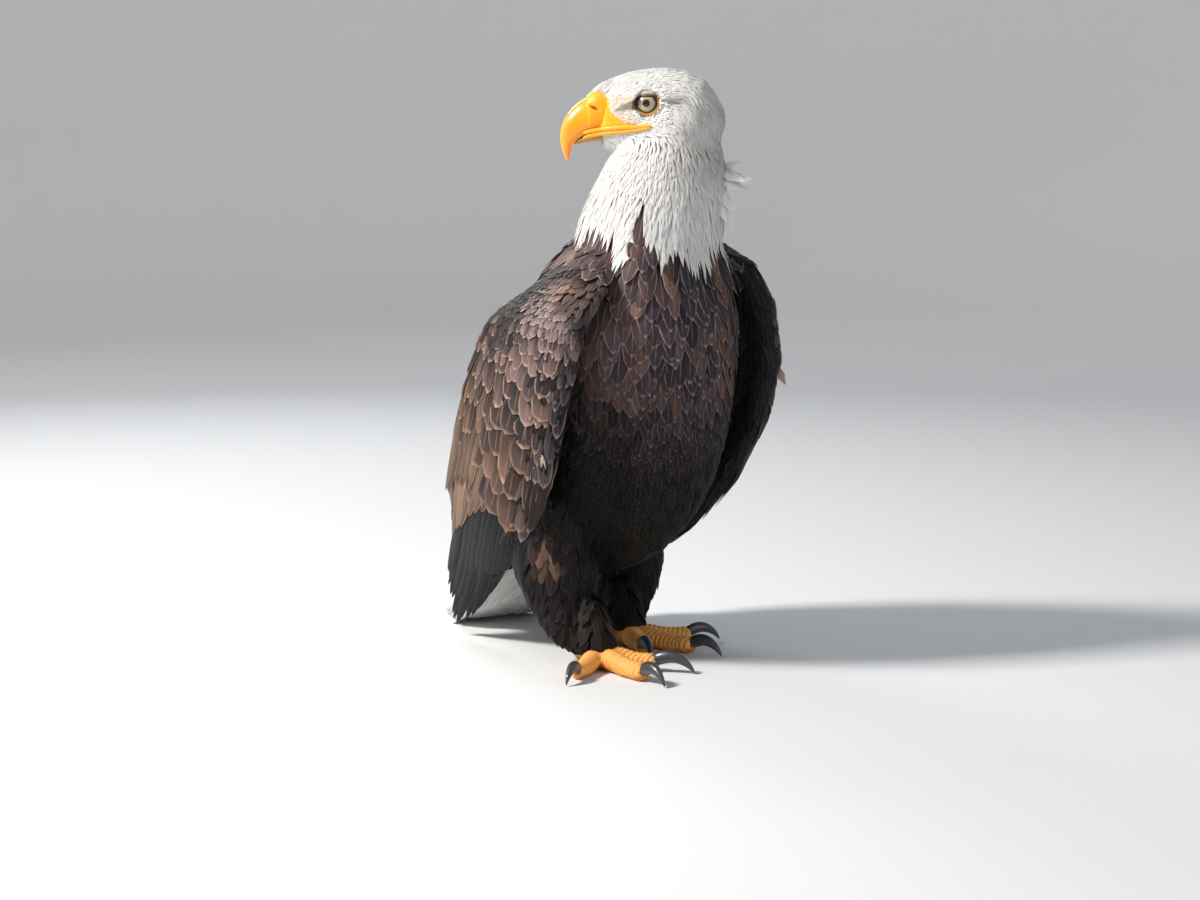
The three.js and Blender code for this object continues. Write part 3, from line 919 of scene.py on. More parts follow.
@dataclass
class FeatherLoom:
    """Makes a tract's feathers as one mesh of closed, thin, cambered vanes that lie along the guide."""

    guide: Guide
    skin_map: Array  # a place on the skin's unwrap for each triangle of the guide
    patch: float = 0.003
    floor: float = 0.25  # mm: nothing hangs lower

    def grow(self, name: str, plumes: Plumes, cut: VaneCut, rng: np.random.Generator) -> bpy.types.Object:
        """Makes the tract.

        Args:
            name: the piece's name.
            plumes: the feathers.
            cut: their outline and lay.
            rng: the source of random numbers.

        Returns:
            The new object, at the origin, in model metres.
        """
        count, rings, columns = len(plumes.at), cut.rings, cut.columns
        share = 1.0 - (1.0 - np.arange(rings + 1) / rings) ** 1.25
        path, normal, heading = self._march(plumes, cut, share, rng)
        side = np.cross(heading, normal)
        roll = cut.lay + rng.normal(0.0, cut.roll, count)[:, None, None] * share[None, :, None]
        across = unit(side * np.cos(roll) + normal * np.sin(roll))
        above = unit(normal * np.cos(roll) - side * np.sin(roll))
        sink = plumes.sink if plumes.sink is not None else self.guide.tri_depth[plumes.tri] + 0.25
        height = -sink[:, None] + (sink + plumes.lift)[:, None] * share[None, :] ** cut.bow
        drift = rng.normal(0.0, cut.bend, count)[:, None] * plumes.length[:, None] * share[None, :] ** 2
        spine = path + normal * height[:, :, None] + side * drift[:, :, None]
        outline = self._outline(share[:rings], cut) * plumes.half[:, None]
        stride = columns + 1
        verts = np.empty((count, rings * stride + 1, 3))
        chart = np.empty((rings * stride + 1, 2))
        for i in range(columns):
            c = -1.0 + 2.0 * i / (columns - 1)
            edge = np.abs(c) > 0.99
            wide = outline * c
            along = np.zeros_like(outline)
            if edge:
                wide = wide * (1.0 + rng.normal(0.0, cut.fray, outline.shape))
                split = rng.random(outline.shape) < cut.notch
                split[:, 0] = False
                wide = np.where(split, wide * rng.uniform(0.45, 0.75, outline.shape), wide)
                along = rng.normal(0.0, cut.fray * 0.8, outline.shape) * outline
            drop = -cut.camber * outline * c * c
            at = spine[:, :rings] + across[:, :rings] * wide[:, :, None] + above[:, :rings] * drop[:, :, None]
            verts[:, i : rings * stride : stride] = at + heading[:, :rings] * along[:, :, None]
            chart[i : rings * stride : stride, 0] = 0.5 + 0.5 * c
        taper = (0.35 + 0.65 * self._outline(share[:rings], cut)) * cut.thick
        keel = above[:, :rings] * taper[None, :, None]
        verts[:, columns : rings * stride : stride] = spine[:, :rings] - keel
        chart[columns : rings * stride : stride, 0] = 0.5
        for i in range(stride):
            chart[i : rings * stride : stride, 1] = share[:rings] - (0.12 if i == columns else 0.0)
        verts[:, -1] = spine[:, rings]
        chart[-1] = (0.5, 1.0)
        verts[:, :, 2] += np.maximum(self.floor - verts[:, :, 2].min(axis=1), 0.0)[:, None]
        return self._mesh(name, verts, chart, plumes, cut, rng)

    def _march(
        self, plumes: Plumes, cut: VaneCut, share: Array, rng: np.random.Generator
    ) -> tuple[Array, Array, Array]:
        """Walks every feather's shaft along the guide.

        Args:
            plumes: the feathers.
            cut: how closely they follow the body.
            share: the rings' places along the length, from 0 to 1.
            rng: the source of random numbers.

        Returns:
            The points, normals and headings of each feather at each ring and at its tip.
        """
        guide = self.guide
        normal = guide.tri_normals[plumes.tri]
        heading = guide.tri_lie[plumes.tri] if plumes.heading is None else plumes.heading
        heading = heading if cut.free else flat_part(heading, normal)
        turn = rng.normal(0.0, cut.sway, len(plumes.at))[:, None] + cut.locks * self._eddy(plumes.at)[:, None]
        heading = unit(heading * np.cos(turn) + np.cross(heading, normal) * np.sin(turn))
        offset = heading - flat_part(guide.tri_lie[plumes.tri], normal)
        at = plumes.at
        if plumes.face is not None:
            normal = flat_part(plumes.face, heading)
        path, normals, headings = [at], [normal], [heading]
        for i in range(1, len(share)):
            step = (plumes.length * (share[i] - share[i - 1]))[:, None]
            target = at + heading * step
            place, tri, away = guide.near(target)
            facing = guide.tri_normals[tri]
            close = (np.sum(facing * normal, axis=1) > 0.1) & (away < cut.cling * step[:, 0] + 2.0)
            close &= not cut.free
            if plumes.leave is not None:
                close &= plumes.length * share[i] < plumes.leave
            held = np.where(close, cut.stick, 0.0)[:, None]
            at = target + held * (place - target)
            turned = unit(0.25 * normal + 0.75 * facing)
            normal = np.where(close[:, None], turned, normal)
            wish = np.where(close[:, None], guide.tri_lie[tri] + 0.6 * offset, heading)
            heading = (1 - cut.steer) * heading + cut.steer * wish
            if plumes.leave is not None:
                loose = plumes.length * share[i] >= plumes.leave
                heading = np.where(loose[:, None], 0.55 * unit(heading) + 0.45 * plumes.aim, heading)
                normal = np.where(loose[:, None], flat_part(normal, unit(heading)), normal)
            heading = flat_part(heading, normal)
            path.append(at)
            normals.append(normal)
            headings.append(heading)
        return np.stack(path, 1), np.stack(normals, 1), np.stack(headings, 1)

    @staticmethod
    def _eddy(at: Array) -> Array:
        """A gentle wave over the body, from -1 to 1, that gathers feathers into locks."""
        x, y, z = at.T
        first = np.sin(0.23 * x + 0.31 * y - 0.11 * z + 1.3)
        second = np.sin(-0.35 * x + 0.18 * y + 0.17 * z)
        return 0.5 * first + 0.5 * second * np.sin(0.09 * (x - y) + 0.13 * z)

    @staticmethod
    def _outline(share: Array, cut: VaneCut) -> Array:
        """The half width along a feather, as a share of the most."""
        rise = cut.base + (1 - cut.base) * np.sin(0.5 * np.pi * np.clip(share / cut.widest, 0, 1))
        past = np.clip((share - cut.widest) / (1 - cut.widest), 0, 1)
        return rise * np.maximum(1 - past**cut.round_off, 0.0) ** cut.blunt

    @staticmethod
    def _faces(rings: int, columns: int) -> list[tuple[int, ...]]:
        """The faces of one vane: its top, its two undersides, its root and its tip."""
        stride = columns + 1
        faces: list[tuple[int, ...]] = []
        for k in range(rings - 1):
            here, there = k * stride, (k + 1) * stride
            faces += [(here + c, here + c + 1, there + c + 1, there + c) for c in range(columns - 1)]
            faces.append((here, there, there + columns, here + columns))
            faces.append((here + columns, there + columns, there + columns - 1, here + columns - 1))
        faces.append((0, columns, *range(columns - 1, 0, -1)))
        last, tip = (rings - 1) * stride, rings * stride
        faces += [(last + c, last + c + 1, tip) for c in range(columns - 1)]
        faces += [(last, tip, last + columns), (last + columns, tip, last + columns - 1)]
        return faces

    def _mesh(
        self, name: str, verts: Array, chart: Array, plumes: Plumes, cut: VaneCut, rng: np.random.Generator
    ) -> bpy.types.Object:
        """Joins the vanes into one mesh with its maps and colours.

        Args:
            name: the piece's name.
            verts: the points of each vane, in bird millimetres.
            chart: each point's place across and along its vane.
            plumes: the feathers.
            cut: their outline.
            rng: the source of random numbers.

        Returns:
            The new object.
        """
        count, each = verts.shape[:2]
        faces = self._faces(cut.rings, cut.columns)
        one = np.concatenate([np.array(f) for f in faces])
        sizes = np.array([len(f) for f in faces])
        starts = np.concatenate([[0], np.cumsum(sizes)[:-1]])
        loops = (one[None, :] + np.arange(count)[:, None] * each).ravel()
        mesh = bpy.data.meshes.new(name)
        mesh.vertices.add(count * each)
        at = self.guide.frame.to_model(verts.reshape(-1, 3))
        mesh.vertices.foreach_set("co", at.astype(np.float32).ravel())
        mesh.loops.add(len(loops))
        mesh.loops.foreach_set("vertex_index", loops.astype(np.int32))
        mesh.polygons.add(count * len(faces))
        mesh.polygons.foreach_set(
            "loop_start", (starts[None, :] + np.arange(count)[:, None] * len(one)).ravel().astype(np.int32)
        )
        mesh.update(calc_edges=True)
        smooth_shaded(mesh)
        self._margins(mesh, each, cut)
        vane = mesh.uv_layers.new(name="Vane", do_init=False)
        vane.uv.foreach_set("vector", np.tile(chart[one], (count, 1)).astype(np.float32).ravel())
        root = self.skin_map[plumes.tri][:, None, :]
        place = root + (chart[one] - 0.5)[None, :, :] * self.patch
        bake = mesh.uv_layers.new(name="OFBake", do_init=False)
        bake.uv.foreach_set("vector", place.reshape(-1, 2).astype(np.float32).ravel())
        mesh.uv_layers.active = vane
        vane.active_render = True
        chance = rng.random(count)
        for label, colour, extra in (("Plume", plumes.plume, chance), ("Rim", plumes.rim, plumes.edge)):
            layer = mesh.color_attributes.new(label, "FLOAT_COLOR", "POINT")
            rows = np.concatenate([np.clip(colour, 0, 1), extra[:, None]], axis=1)
            layer.data.foreach_set("color", np.repeat(rows, each, axis=0).astype(np.float32).ravel())
        ob = placed(name, mesh)
        LOG.info("%s: %d feathers, %d triangles", name, count, count * int(np.sum(sizes - 2)))
        return ob

    @staticmethod
    def _margins(mesh: bpy.types.Mesh, each: int, cut: VaneCut) -> None:
        """Marks both margins of every vane sharp, so that its top shades apart from its underside."""
        ends = np.empty(len(mesh.edges) * 2, np.int32)
        mesh.edges.foreach_get("vertices", ends)
        local = ends.reshape(-1, 2) % each
        stride, tip = cut.columns + 1, cut.rings * (cut.columns + 1)
        column = np.where(local == tip, -1, local % stride)
        left = np.all((column == 0) | (column == -1), axis=1)
        right = np.all((column == cut.columns - 1) | (column == -1), axis=1)
        sharp = mesh.attributes.new("sharp_edge", "BOOLEAN", "EDGE")
        sharp.data.foreach_set("value", left | right)


@dataclass(frozen=True)
class PlumageFinish:
    """The look of a tract's feathers: plume and rim colours, shaft, barbs, gloss and sheen."""

    name: str
    streaks: float = 26.0  # barb bundles along a feather
    streak_depth: float = 0.34  # how far they vary the colour
    slant: float = 0.55
    shaft: float = 0.35
    shaft_width: float = 0.10
    # root_shade darkens each feather towards its root: partly the feather's own darker base, partly painted
    # shade where the feather above overlaps it.
    root_shade: float = 0.45
    shade_from: float = 0.0
    shade_to: float = 0.6
    glow: float = 0.0  # how much light passes on inside
    rough: float = 0.6
    sheen: float = 0.03
    sheen_tone: Tone = (0.8, 0.75, 0.7)
    gloss: float = 0.25
    relief: float = 0.0005
    rim_from: float = 0.66
    tip_from: float = 0.84

    def dress(self) -> bpy.types.Material:
        """Makes the material."""
        tree = Tree(self.name)
        across_map, along = tree.chart("Vane")
        plume, rim = tree.attribute("Plume"), tree.attribute("Rim")
        chance, strength = Value(tree, plume.outputs["Alpha"]), Value(tree, rim.outputs["Alpha"])
        side = across_map * 2.0 - 1.0
        across = side.size()
        grain = tree.vector(side * 0.9, (along - across * self.slant * 0.3) * self.streaks, chance * 91.0)
        barbs = tree.noise(grain, 1.0, 3.0, 0.6)
        wander = tree.noise(tree.vector(side * 2.0, along * 4.0, chance * 57.0 + 3.0), 1.0, 2.0)
        edge = across.step(self.rim_from, 0.99).most(along.step(self.tip_from, 0.99))
        edge = (edge * strength * (0.35 + 1.3 * wander)).held()
        colour = tree.mix(edge, plume.outputs["Color"], rim.outputs["Color"])
        shaft = (1.0 - across.step(0.02, self.shaft_width)) * self.shaft * (1.0 - along.step(0.75, 0.98))
        colour = tree.mix(shaft, colour, rim.outputs["Color"])
        # Darker towards the root: partly the feather's own base, partly painted shade under the overlapping
        # feather.
        shade = (1.0 - self.root_shade * (1.0 - along.step(self.shade_from, self.shade_to))) * (
            1.0 - 0.5 * self.streak_depth + self.streak_depth * barbs + 0.3 * (wander - 0.5)
        )
        if self.glow:
            tree.set(Subsurface_Weight=self.glow, Subsurface_Scale=0.005, Subsurface_Radius=(1.0, 0.95, 0.9))
        return tree.finish(
            tree.vectors("SCALE", colour, shade).outputs[0], (self.rough + 0.25 * (barbs - 0.5)).held(),
            barbs * 0.8 + (1.0 - across.step(0.0, 0.12)) * 0.4, self.relief, 0.7, Sheen_Weight=self.sheen,
            Sheen_Roughness=0.4, Sheen_Tint=self.sheen_tone, Specular_IOR_Level=self.gloss,
        )


# ---------------------------------------------------------------------------------- markings and skin


@dataclass(frozen=True)
class Markings:
    """The colours of the plumage over the whole bird, which the skin and the coat share."""

    frame: BirdFrame
    white: Tone = tone(234, 232, 229)
    # Grey for behind the cheek, partly its own and partly painted shade, and for the painted shadow line in
    # the crease behind the eye.
    grey_white: Tone = tone(186, 180, 174)
    buff_white: Tone = tone(226, 205, 178)
    white_rim: Tone = tone(242, 241, 239)
    breast: Tone = tone(52, 46, 52)
    breast_rim: Tone = tone(142, 124, 122)
    # The belly's colour, darker than the breast: partly its own, partly painted shade.
    belly: Tone = tone(17, 16, 16)
    belly_rim: Tone = tone(76, 67, 52)
    back: Tone = tone(58, 47, 44)
    back_rim: Tone = tone(134, 110, 96)
    thigh: Tone = tone(23, 20, 20)
    thigh_rim: Tone = tone(64, 55, 52)
    bare: Tone = tone(238, 172, 40)
    lore_skin: Tone = tone(232, 150, 70)
    crown_fleck: Tone = tone(128, 104, 92)
    # The warmer, lighter breast of the right front, which faces the key light: partly the breast's own brown,
    # partly painted light.
    lit_warm_breast: Tone = tone(84, 68, 68)
    wing_skin: Tone = tone(52, 44, 42)
    rust: Tone = tone(128, 100, 82)
    tan: Tone = tone(156, 124, 110)
    brown: Tone = tone(94, 72, 64)

    def bearing(self, points: Array) -> Array:
        """The angle about the neck: 0 straight over the right breast, positive towards the bird's left."""
        away = points[:, :2] - np.array([4.0, -50.0])
        angle = np.arctan2(away[:, 1], away[:, 0]) - math.atan2(-0.842, -0.526)
        return (angle + np.pi) % (2 * np.pi) - np.pi

    def hem(self, points: Array) -> Array:
        """The height of the white hood's ragged lower edge at each point's bearing."""
        angle = self.bearing(points)
        wave = 6.0 * np.sin(6 * angle + 0.9) + 4.5 * np.sin(11 * angle + 2.3) + 2.5 * np.sin(21 * angle)
        notch = 40.0 * hump(angle, -0.10, 0.13) - 16.0 * hump(angle, -0.24, 0.06)
        notch = notch + 11.0 * hump(angle, -0.6, 0.3)
        shoulder = 17.0 * ramp(-0.6, -1.0, angle) * ramp(-2.6, -2.0, angle)
        return 378.0 + wave + notch + shoulder + 8.0 * ramp(0.9, 2.2, np.abs(angle))

    def is_white(self, points: Array, zone: Array) -> Array:
        """Whether each point lies in the white hood or tail."""
        hood = lies_in(zone, Zone.HEAD) | (points[:, 2] > self.hem(points))
        wing = lies_in(zone, *WING_ZONES)
        tail = lies_in(zone, Zone.TAIL) | ((points[:, 1] > 92) & (points[:, 2] < 124) & ~wing)
        return (hood & ~wing & (points[:, 2] > 300)) | tail & ~lies_in(zone, Zone.THIGH)

    def whites(self, points: Array) -> Array:
        """The white plumage's shades: greyer behind the cheek, partly its own grey and partly painted shade,
        a painted shadow line in the crease behind the eye, and buff at the lores.
        """
        local = self.frame.head_local(points)
        x, y, z = local[:, 0], np.abs(local[:, 1]), local[:, 2]
        lore = 0.7 * ramp(11, 20, x) * ramp(8, 2, z) * ramp(-26, -16, z) * (y > 8)
        # Behind the cheek the grey is partly the plumage's own, partly painted shade; the crease behind the
        # eye gets a painted shadow line.
        cheek = 0.6 * ramp(-4, -26, x) * ramp(16, 2, z) * ramp(-70, -34, z)
        crease = 0.95 * hump(z - 6.0, 0.12 * (x + 20), 3.4) * ramp(-8, -18, x) * ramp(-62, -36, x)
        out = blend(blend(self.white, self.grey_white, np.maximum(cheek, crease)), self.buff_white, lore)
        speckle = 0.5 + 0.5 * np.sin(2.1 * x + 1.7 * z) * np.sin(1.3 * x - 2.3 * z)
        skin_shows = speckle * mound(x, z, (25.0, 5.0), (7.0, 2.6)) * (y > 8)
        fleck = mound(x, z, (-14.0, 32.0), (4.5, 2.2)) * (local[:, 1] < 2)
        return blend(blend(out, self.lore_skin, 0.75 * skin_shows), self.crown_fleck, 0.8 * fleck)

    def naked(self, points: Array) -> Array:
        """Where the face's yellow skin is bare: from the bill back to the gape."""
        local = self.frame.head_local(points)
        x, y, z = local[:, 0], np.abs(local[:, 1]), local[:, 2]
        heights = (-36, -27, -23.5, -21, -19, -16, -12.5, -6, 10, 24)
        edge = np.interp(z, heights, (47, 44, 26, 8, 4, 21, 28, 35, 36.5, 40))
        edge = edge + 1.3 * np.sin(1.9 * z) * np.sin(0.7 * z + 0.9 * y)
        return (x > edge) & (z > -36) & (y < 34)

    @staticmethod
    def rusty(points: Array) -> Array:
        """How much of the rusty patch on the right thigh lies at each point."""
        fan = np.exp(-((np.linalg.norm(points - np.array([-88.0, -20.0, 124.0]), axis=1) / 9.5) ** 2))
        cuff = np.exp(-((np.linalg.norm(points - np.array([-33.0, -46.0, 54.0]), axis=1) / 10.0) ** 2))
        return np.clip(0.9 * fan + 0.8 * cuff, 0.0, 1.0)

    @staticmethod
    def tanned(points: Array) -> Array:
        """How much of the tan patch on the right shoulder lies at each point."""
        away = np.linalg.norm(points - np.array([-91.0, -66.0, 362.0]), axis=1)
        return np.clip(1.4 * np.exp(-((away / 15.0) ** 2)), 0.0, 1.0)

    def trunk(self, points: Array) -> tuple[Array, Array, Array]:
        """The dark trunk, with painted shade on the belly, painted shadow beside the right wing and on the
        left front, and painted light on the right front.

        Args:
            points: rows of bird points.

        Returns:
            The feathers' colour, their rim's colour and the rim's strength.
        """
        x, y, z = points.T
        # Darker from the breast down to the belly: partly the plumage's own colour, partly painted shade
        # under the breast.
        high = ramp(160, 340, z)
        # The right front, facing the key light, is painted warmer and lighter: partly the breast's own brown,
        # partly painted light.
        lit_right_front = 0.6 * ramp(-6, -60, x) * ramp(10, -40, y) * ramp(225, 320, z)
        colour = blend(blend(self.belly, self.breast, high), self.lit_warm_breast, lit_right_front)
        rim = blend(self.belly_rim, self.breast_rim, high)
        # Painted shadow: the flank beside the right wing's front edge, where the wing's shadow falls, and the
        # bird's left front, turned from the key light, are darkened, their rims too.
        flank = 0.848 * x - 0.530 * y + 20.0 - 0.6 * np.clip(327.0 - z, -20.0, 66.0)
        shaded = ramp(10, -16, flank) * ramp(340, 296, z) + 0.5 * ramp(20, 60, x) * ramp(60, 10, y)
        shaded = np.clip(shaded, 0, 1)[:, None]
        colour = colour * (1 - 0.6 * shaded)
        rim = rim * (1 - 0.5 * shaded)
        rear = ramp(-10, 40, y)
        colour = blend(blend(colour, self.back, rear), self.tan, self.tanned(points))
        strength = 0.42 + 0.5 * high + 0.3 * rear
        return colour, blend(rim, self.back_rim, rear), np.clip(strength, 0, 0.95)

    def skin(self, points: Array, zone: Array) -> Array:
        """The skin's colour, a little darker than the coat over it."""
        dark, _, _ = self.trunk(points)
        dark[lies_in(zone, Zone.THIGH)] = self.thigh
        dark[lies_in(zone, *WING_ZONES)] = self.wing_skin
        colour = np.where(self.is_white(points, zone)[:, None], self.whites(points) * 0.86, dark * 0.8)
        return np.where(self.naked(points)[:, None], np.array(self.bare), colour)


@dataclass
class Skin:
    """The one skin under the coat: the guide drawn in by the coat's depth, in the coat's own colours."""

    guide: Guide
    markings: Markings
    triangle_map: Array = field(init=False)

    def build(self) -> bpy.types.Object:
        """Makes the skin, unwraps it and colours it."""
        guide = self.guide
        mesh = guide.mesh
        mesh.name = "skin"
        inner = guide.points - guide.normals * guide.depth[:, None]
        mesh.vertices.foreach_set("co", guide.frame.to_model(inner).astype(np.float32).ravel())
        smooth_shaded(mesh)
        mesh.update()
        skin = placed("skin", mesh)
        self._unwrap(skin)
        rows = np.ones((len(guide.points), 4), np.float32)
        rows[:, :3] = np.clip(self.markings.skin(guide.points, guide.zone), 0, 1)
        mesh.color_attributes.new("Plume", "FLOAT_COLOR", "POINT").data.foreach_set("color", rows.ravel())
        mesh.materials.append(self._finish())
        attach(skin, "root")
        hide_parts(*FLESH)
        LOG.info("skin: %d faces", len(mesh.polygons))
        return skin

    def _unwrap(self, skin: bpy.types.Object) -> None:
        """Unwraps the skin by its own shape and keeps each triangle's place on the map."""
        mesh = skin.data
        layer = mesh.uv_layers.new(name="OFBake")
        bpy.context.view_layer.objects.active = skin
        skin.select_set(True)
        bpy.ops.object.mode_set(mode="EDIT")
        bpy.ops.mesh.select_all(action="SELECT")
        bpy.ops.uv.smart_project(angle_limit=math.radians(66), island_margin=0.004)
        bpy.ops.object.mode_set(mode="OBJECT")
        skin.select_set(False)
        layer = mesh.uv_layers["OFBake"]
        flat = np.empty(len(mesh.loops) * 2, np.float32)
        layer.uv.foreach_get("vector", flat)
        mesh.calc_loop_triangles()
        loops = np.array([t.loops for t in mesh.loop_triangles])
        self.triangle_map = flat.reshape(-1, 2)[loops].mean(axis=1)

    @staticmethod
    def _finish() -> bpy.types.Material:
        """Downy skin in the coat's colours."""
        tree = Tree("downy_skin")
        plume = tree.attribute("Plume").outputs["Color"]
        down = tree.noise(tree.place((1.0, 1.0, 0.35)), 900.0, 3.0)
        scaled = tree.vectors("SCALE", plume, 0.72 + 0.5 * down).outputs[0]
        return tree.finish(
            scaled, 0.8 + 0.15 * down, down, 0.0008, 0.8, Sheen_Weight=0.1, Specular_IOR_Level=0.25
        )


# ------------------------------------------------------------------------------------------ the coat


@dataclass(frozen=True)
class Tuft:
    """A few feathers that stand out of the coat together."""

    at: tuple[float, float, float]
    heading: tuple[float, float, float]
    length: float
    half: float
    number: int
    spread: float = 1.4
    fan: float = 0.07
    colour: Tone = tone(246, 245, 243)


TUFTS = (
    Tuft((54, -96, 459), (0.85, -0.53, 0.10), 18, 3.4, 4, 1.0),
    Tuft((53, -97, 453), (0.85, -0.53, -0.28), 25, 4.6, 9, 1.6),
    Tuft((52, -97, 448), (0.80, -0.50, -0.55), 24, 4.6, 9, 1.6),
    Tuft((50, -99, 437), (0.66, -0.46, -1.50), 21, 4.2, 7, 1.4),
    Tuft((48, -100, 424), (0.50, -0.45, -1.90), 22, 4.0, 7, 1.4),
    Tuft((-116, -58, 205), (-0.10, -0.22, -1.00), 11, 0.9, 9, 1.5, 0.15, tone(172, 156, 146)),
    Tuft((127, -72, 272), (0.36, -0.20, -0.90), 17, 4.6, 2, 0.5, 0.05, tone(164, 142, 126)),
)


@dataclass
class Coat:
    """All the plumage, tract by tract."""

    guide: Guide
    markings: Markings
    loom: FeatherLoom
    seed: int = 20
    tail_end: float = 252.4  # mm behind the bird's middle
    root_half: float = 26.0  # half the width over which the tail's long feathers are rooted, in mm
    root_height: float = 112.0
    tip_half: float = 44.0  # half the width over which they end
    # Each fan of tail feathers: their number, where they start, how far short of the end they stop, and lift.
    fans: tuple[tuple[int, float, float, float], ...] = (
        (12, 112.0, 0.0, 0.8), (11, 104.0, 9.0, 1.5), (10, 98.0, 62.0, 2.2)
    )
    # The forehead's point of feathers over the cere; last, how far forward, and down to what height there.
    point_rows: tuple[float, float] = (0.6, 3.9)  # where its feathers start and end among the cere's sections
    point_count: int = 240
    point_ragged: float = 0.8  # how far its edge wanders, in mm
    point_kept: float = 0.6  # the share of its places that get a feather
    point_reach: tuple[float, ...] = (28.0, 35.0, 38.0, 41.0, 44.0, 48.0, 51.5, 54.0)
    point_edge: tuple[float, ...] = (-12.0, -6.0, 2.0, 8.5, 10.6, 10.0, 8.4, 30.0)

    def build(self) -> list[bpy.types.Object]:
        """Makes every tract in order."""
        white = PlumageFinish(
            "white_plumage", streaks=20.0, streak_depth=0.20, shaft=0.12, glow=0.3,
            root_shade=0.10, rough=0.65, sheen=0.1, sheen_tone=(1.0, 1.0, 1.0),
        ).dress()
        fine = PlumageFinish(
            "fine_white_plumage", streaks=8.0, streak_depth=0.14, shaft=0.0, root_shade=0.08, rough=0.7,
            sheen=0.1, sheen_tone=(1.0, 1.0, 1.0), relief=0.0002, glow=0.3,
        ).dress()
        dark = PlumageFinish(
            "dark_plumage", shaft=0.6, shaft_width=0.07, rim_from=0.78, tip_from=0.9, sheen=0.0, gloss=0.10,
        ).dress()
        wing = PlumageFinish(
            "wing_plumage", streaks=30.0, shaft=0.35, shaft_width=0.07, rim_from=0.72, tip_from=0.88,
            root_shade=0.68, shade_from=0.35, shade_to=1.0, gloss=0.15,
        ).dress()
        flight = PlumageFinish(
            "flight_plumage", streaks=90.0, streak_depth=0.30, shaft=0.35, shaft_width=0.06, rough=0.5,
            rim_from=0.70, tip_from=0.97, gloss=0.15,
        ).dress()
        made: list[bpy.types.Object] = []
        for name, finish, slot, method in (
            ("face_plumage", fine, "white_plumage", self._face),
            ("head_plumage", fine, "white_plumage", self._head),
            ("forehead_plumage", fine, "white_plumage", self._forehead),
            ("neck_hackles", white, "white_plumage", self._hackles),
            ("stray_tufts", white, "white_plumage", self._tufts),
            ("breast_plumage", dark, "dark_plumage", self._trunk),
            ("thigh_plumage", dark, "dark_plumage", self._thighs),
            ("wing_lining", dark, "wing_plumage", self._lining),
            ("wing_coverts", wing, "wing_plumage", self._coverts),
            ("wing_flights", flight, "flight_plumage", self._flights),
            ("tail_plumage", white, "white_plumage", self._tail),
            ("tail_feathers", white, "white_plumage", self._rectrices),
        ):
            rng = np.random.default_rng(self.seed + len(made))
            plumes, cut = method(rng)
            piece = self.loom.grow(name, plumes, cut, rng)
            piece.data.materials.append(finish)
            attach(piece, "root")
            made.append(piece)
        return made

    # -- helpers

    def _dress(
        self, at: Array, tri: Array, length: Array | float, half: Array | float, lift: Array | float,
        colours: tuple[Array | Tone, Array | Tone, Array | float], rng: np.random.Generator, vary: float,
        ruffle: float | Array = 1.0,
    ) -> Plumes:
        """Feathers with random differences in size and shade.

        Args:
            at: their roots.
            tri: the roots' triangles.
            length: their lengths.
            half: their half widths.
            lift: how far their tips stand over the guide.
            colours: their colour, rim colour and rim strength.
            rng: the source of random numbers.
            vary: how much their shade varies.
            ruffle: how much their lift varies.

        Returns:
            The feathers.
        """
        count = len(at)
        plume, rim, edge = colours
        shade = np.exp(rng.normal(0.0, vary, count))[:, None]
        warm = rng.normal(0.0, vary * 0.25, count)[:, None] * np.array([1.0, 0.0, -1.0])
        return Plumes(
            at, tri, length * np.exp(rng.normal(0, 0.09, count)), half * np.exp(rng.normal(0, 0.09, count)),
            lift + ruffle * rng.uniform(-0.3, 0.5, count), np.asarray(plume) * shade * (1 + warm),
            np.asarray(rim) * shade**0.5,
            np.clip(edge * rng.uniform(0.6, 1.2, count), 0, 1),
        )

    def _in(self, *zones: Zone) -> Array:
        """The triangles of some zones."""
        return lies_in(self.guide.tri_zone, *zones)

    def _bare(self, points: Array) -> Array:
        """Where no feather grows: under the cere and over the eyes."""
        local = self.guide.frame.head_local(points)
        x, y, z = local[:, 0], np.abs(local[:, 1]), local[:, 2]
        eye = (((x + 0.5) / 11.2) ** 2 + ((z + 2.9) / 7.4) ** 2 < 1.0) & (y > 12)
        return self.markings.naked(points) | eye

    # -- tracts

    def _face(self, rng: np.random.Generator) -> tuple[Plumes, VaneCut]:
        """Bristly small feathers of the lores, brows and around the eyes."""
        centres = self.guide.centres
        local = self.guide.frame.head_local(centres)
        near = (local[:, 0] > -16) & (np.abs(local[:, 2] - 1) < 20) & (np.abs(local[:, 1]) > 9)
        at, tri = self.guide.scatter(1.55, self._in(Zone.HEAD) & near & ~self._bare(centres), rng)
        colours = (self.markings.whites(at), self.markings.white_rim, 0.3)
        plumes = self._dress(at, tri, 6.0, 0.95, 0.0, colours, rng, 0.05, 0.35)
        return plumes, VaneCut(
            rings=4, base=0.6, widest=0.45, blunt=0.9, thick=0.2, sway=0.12, fray=0.05, notch=0.0
        )

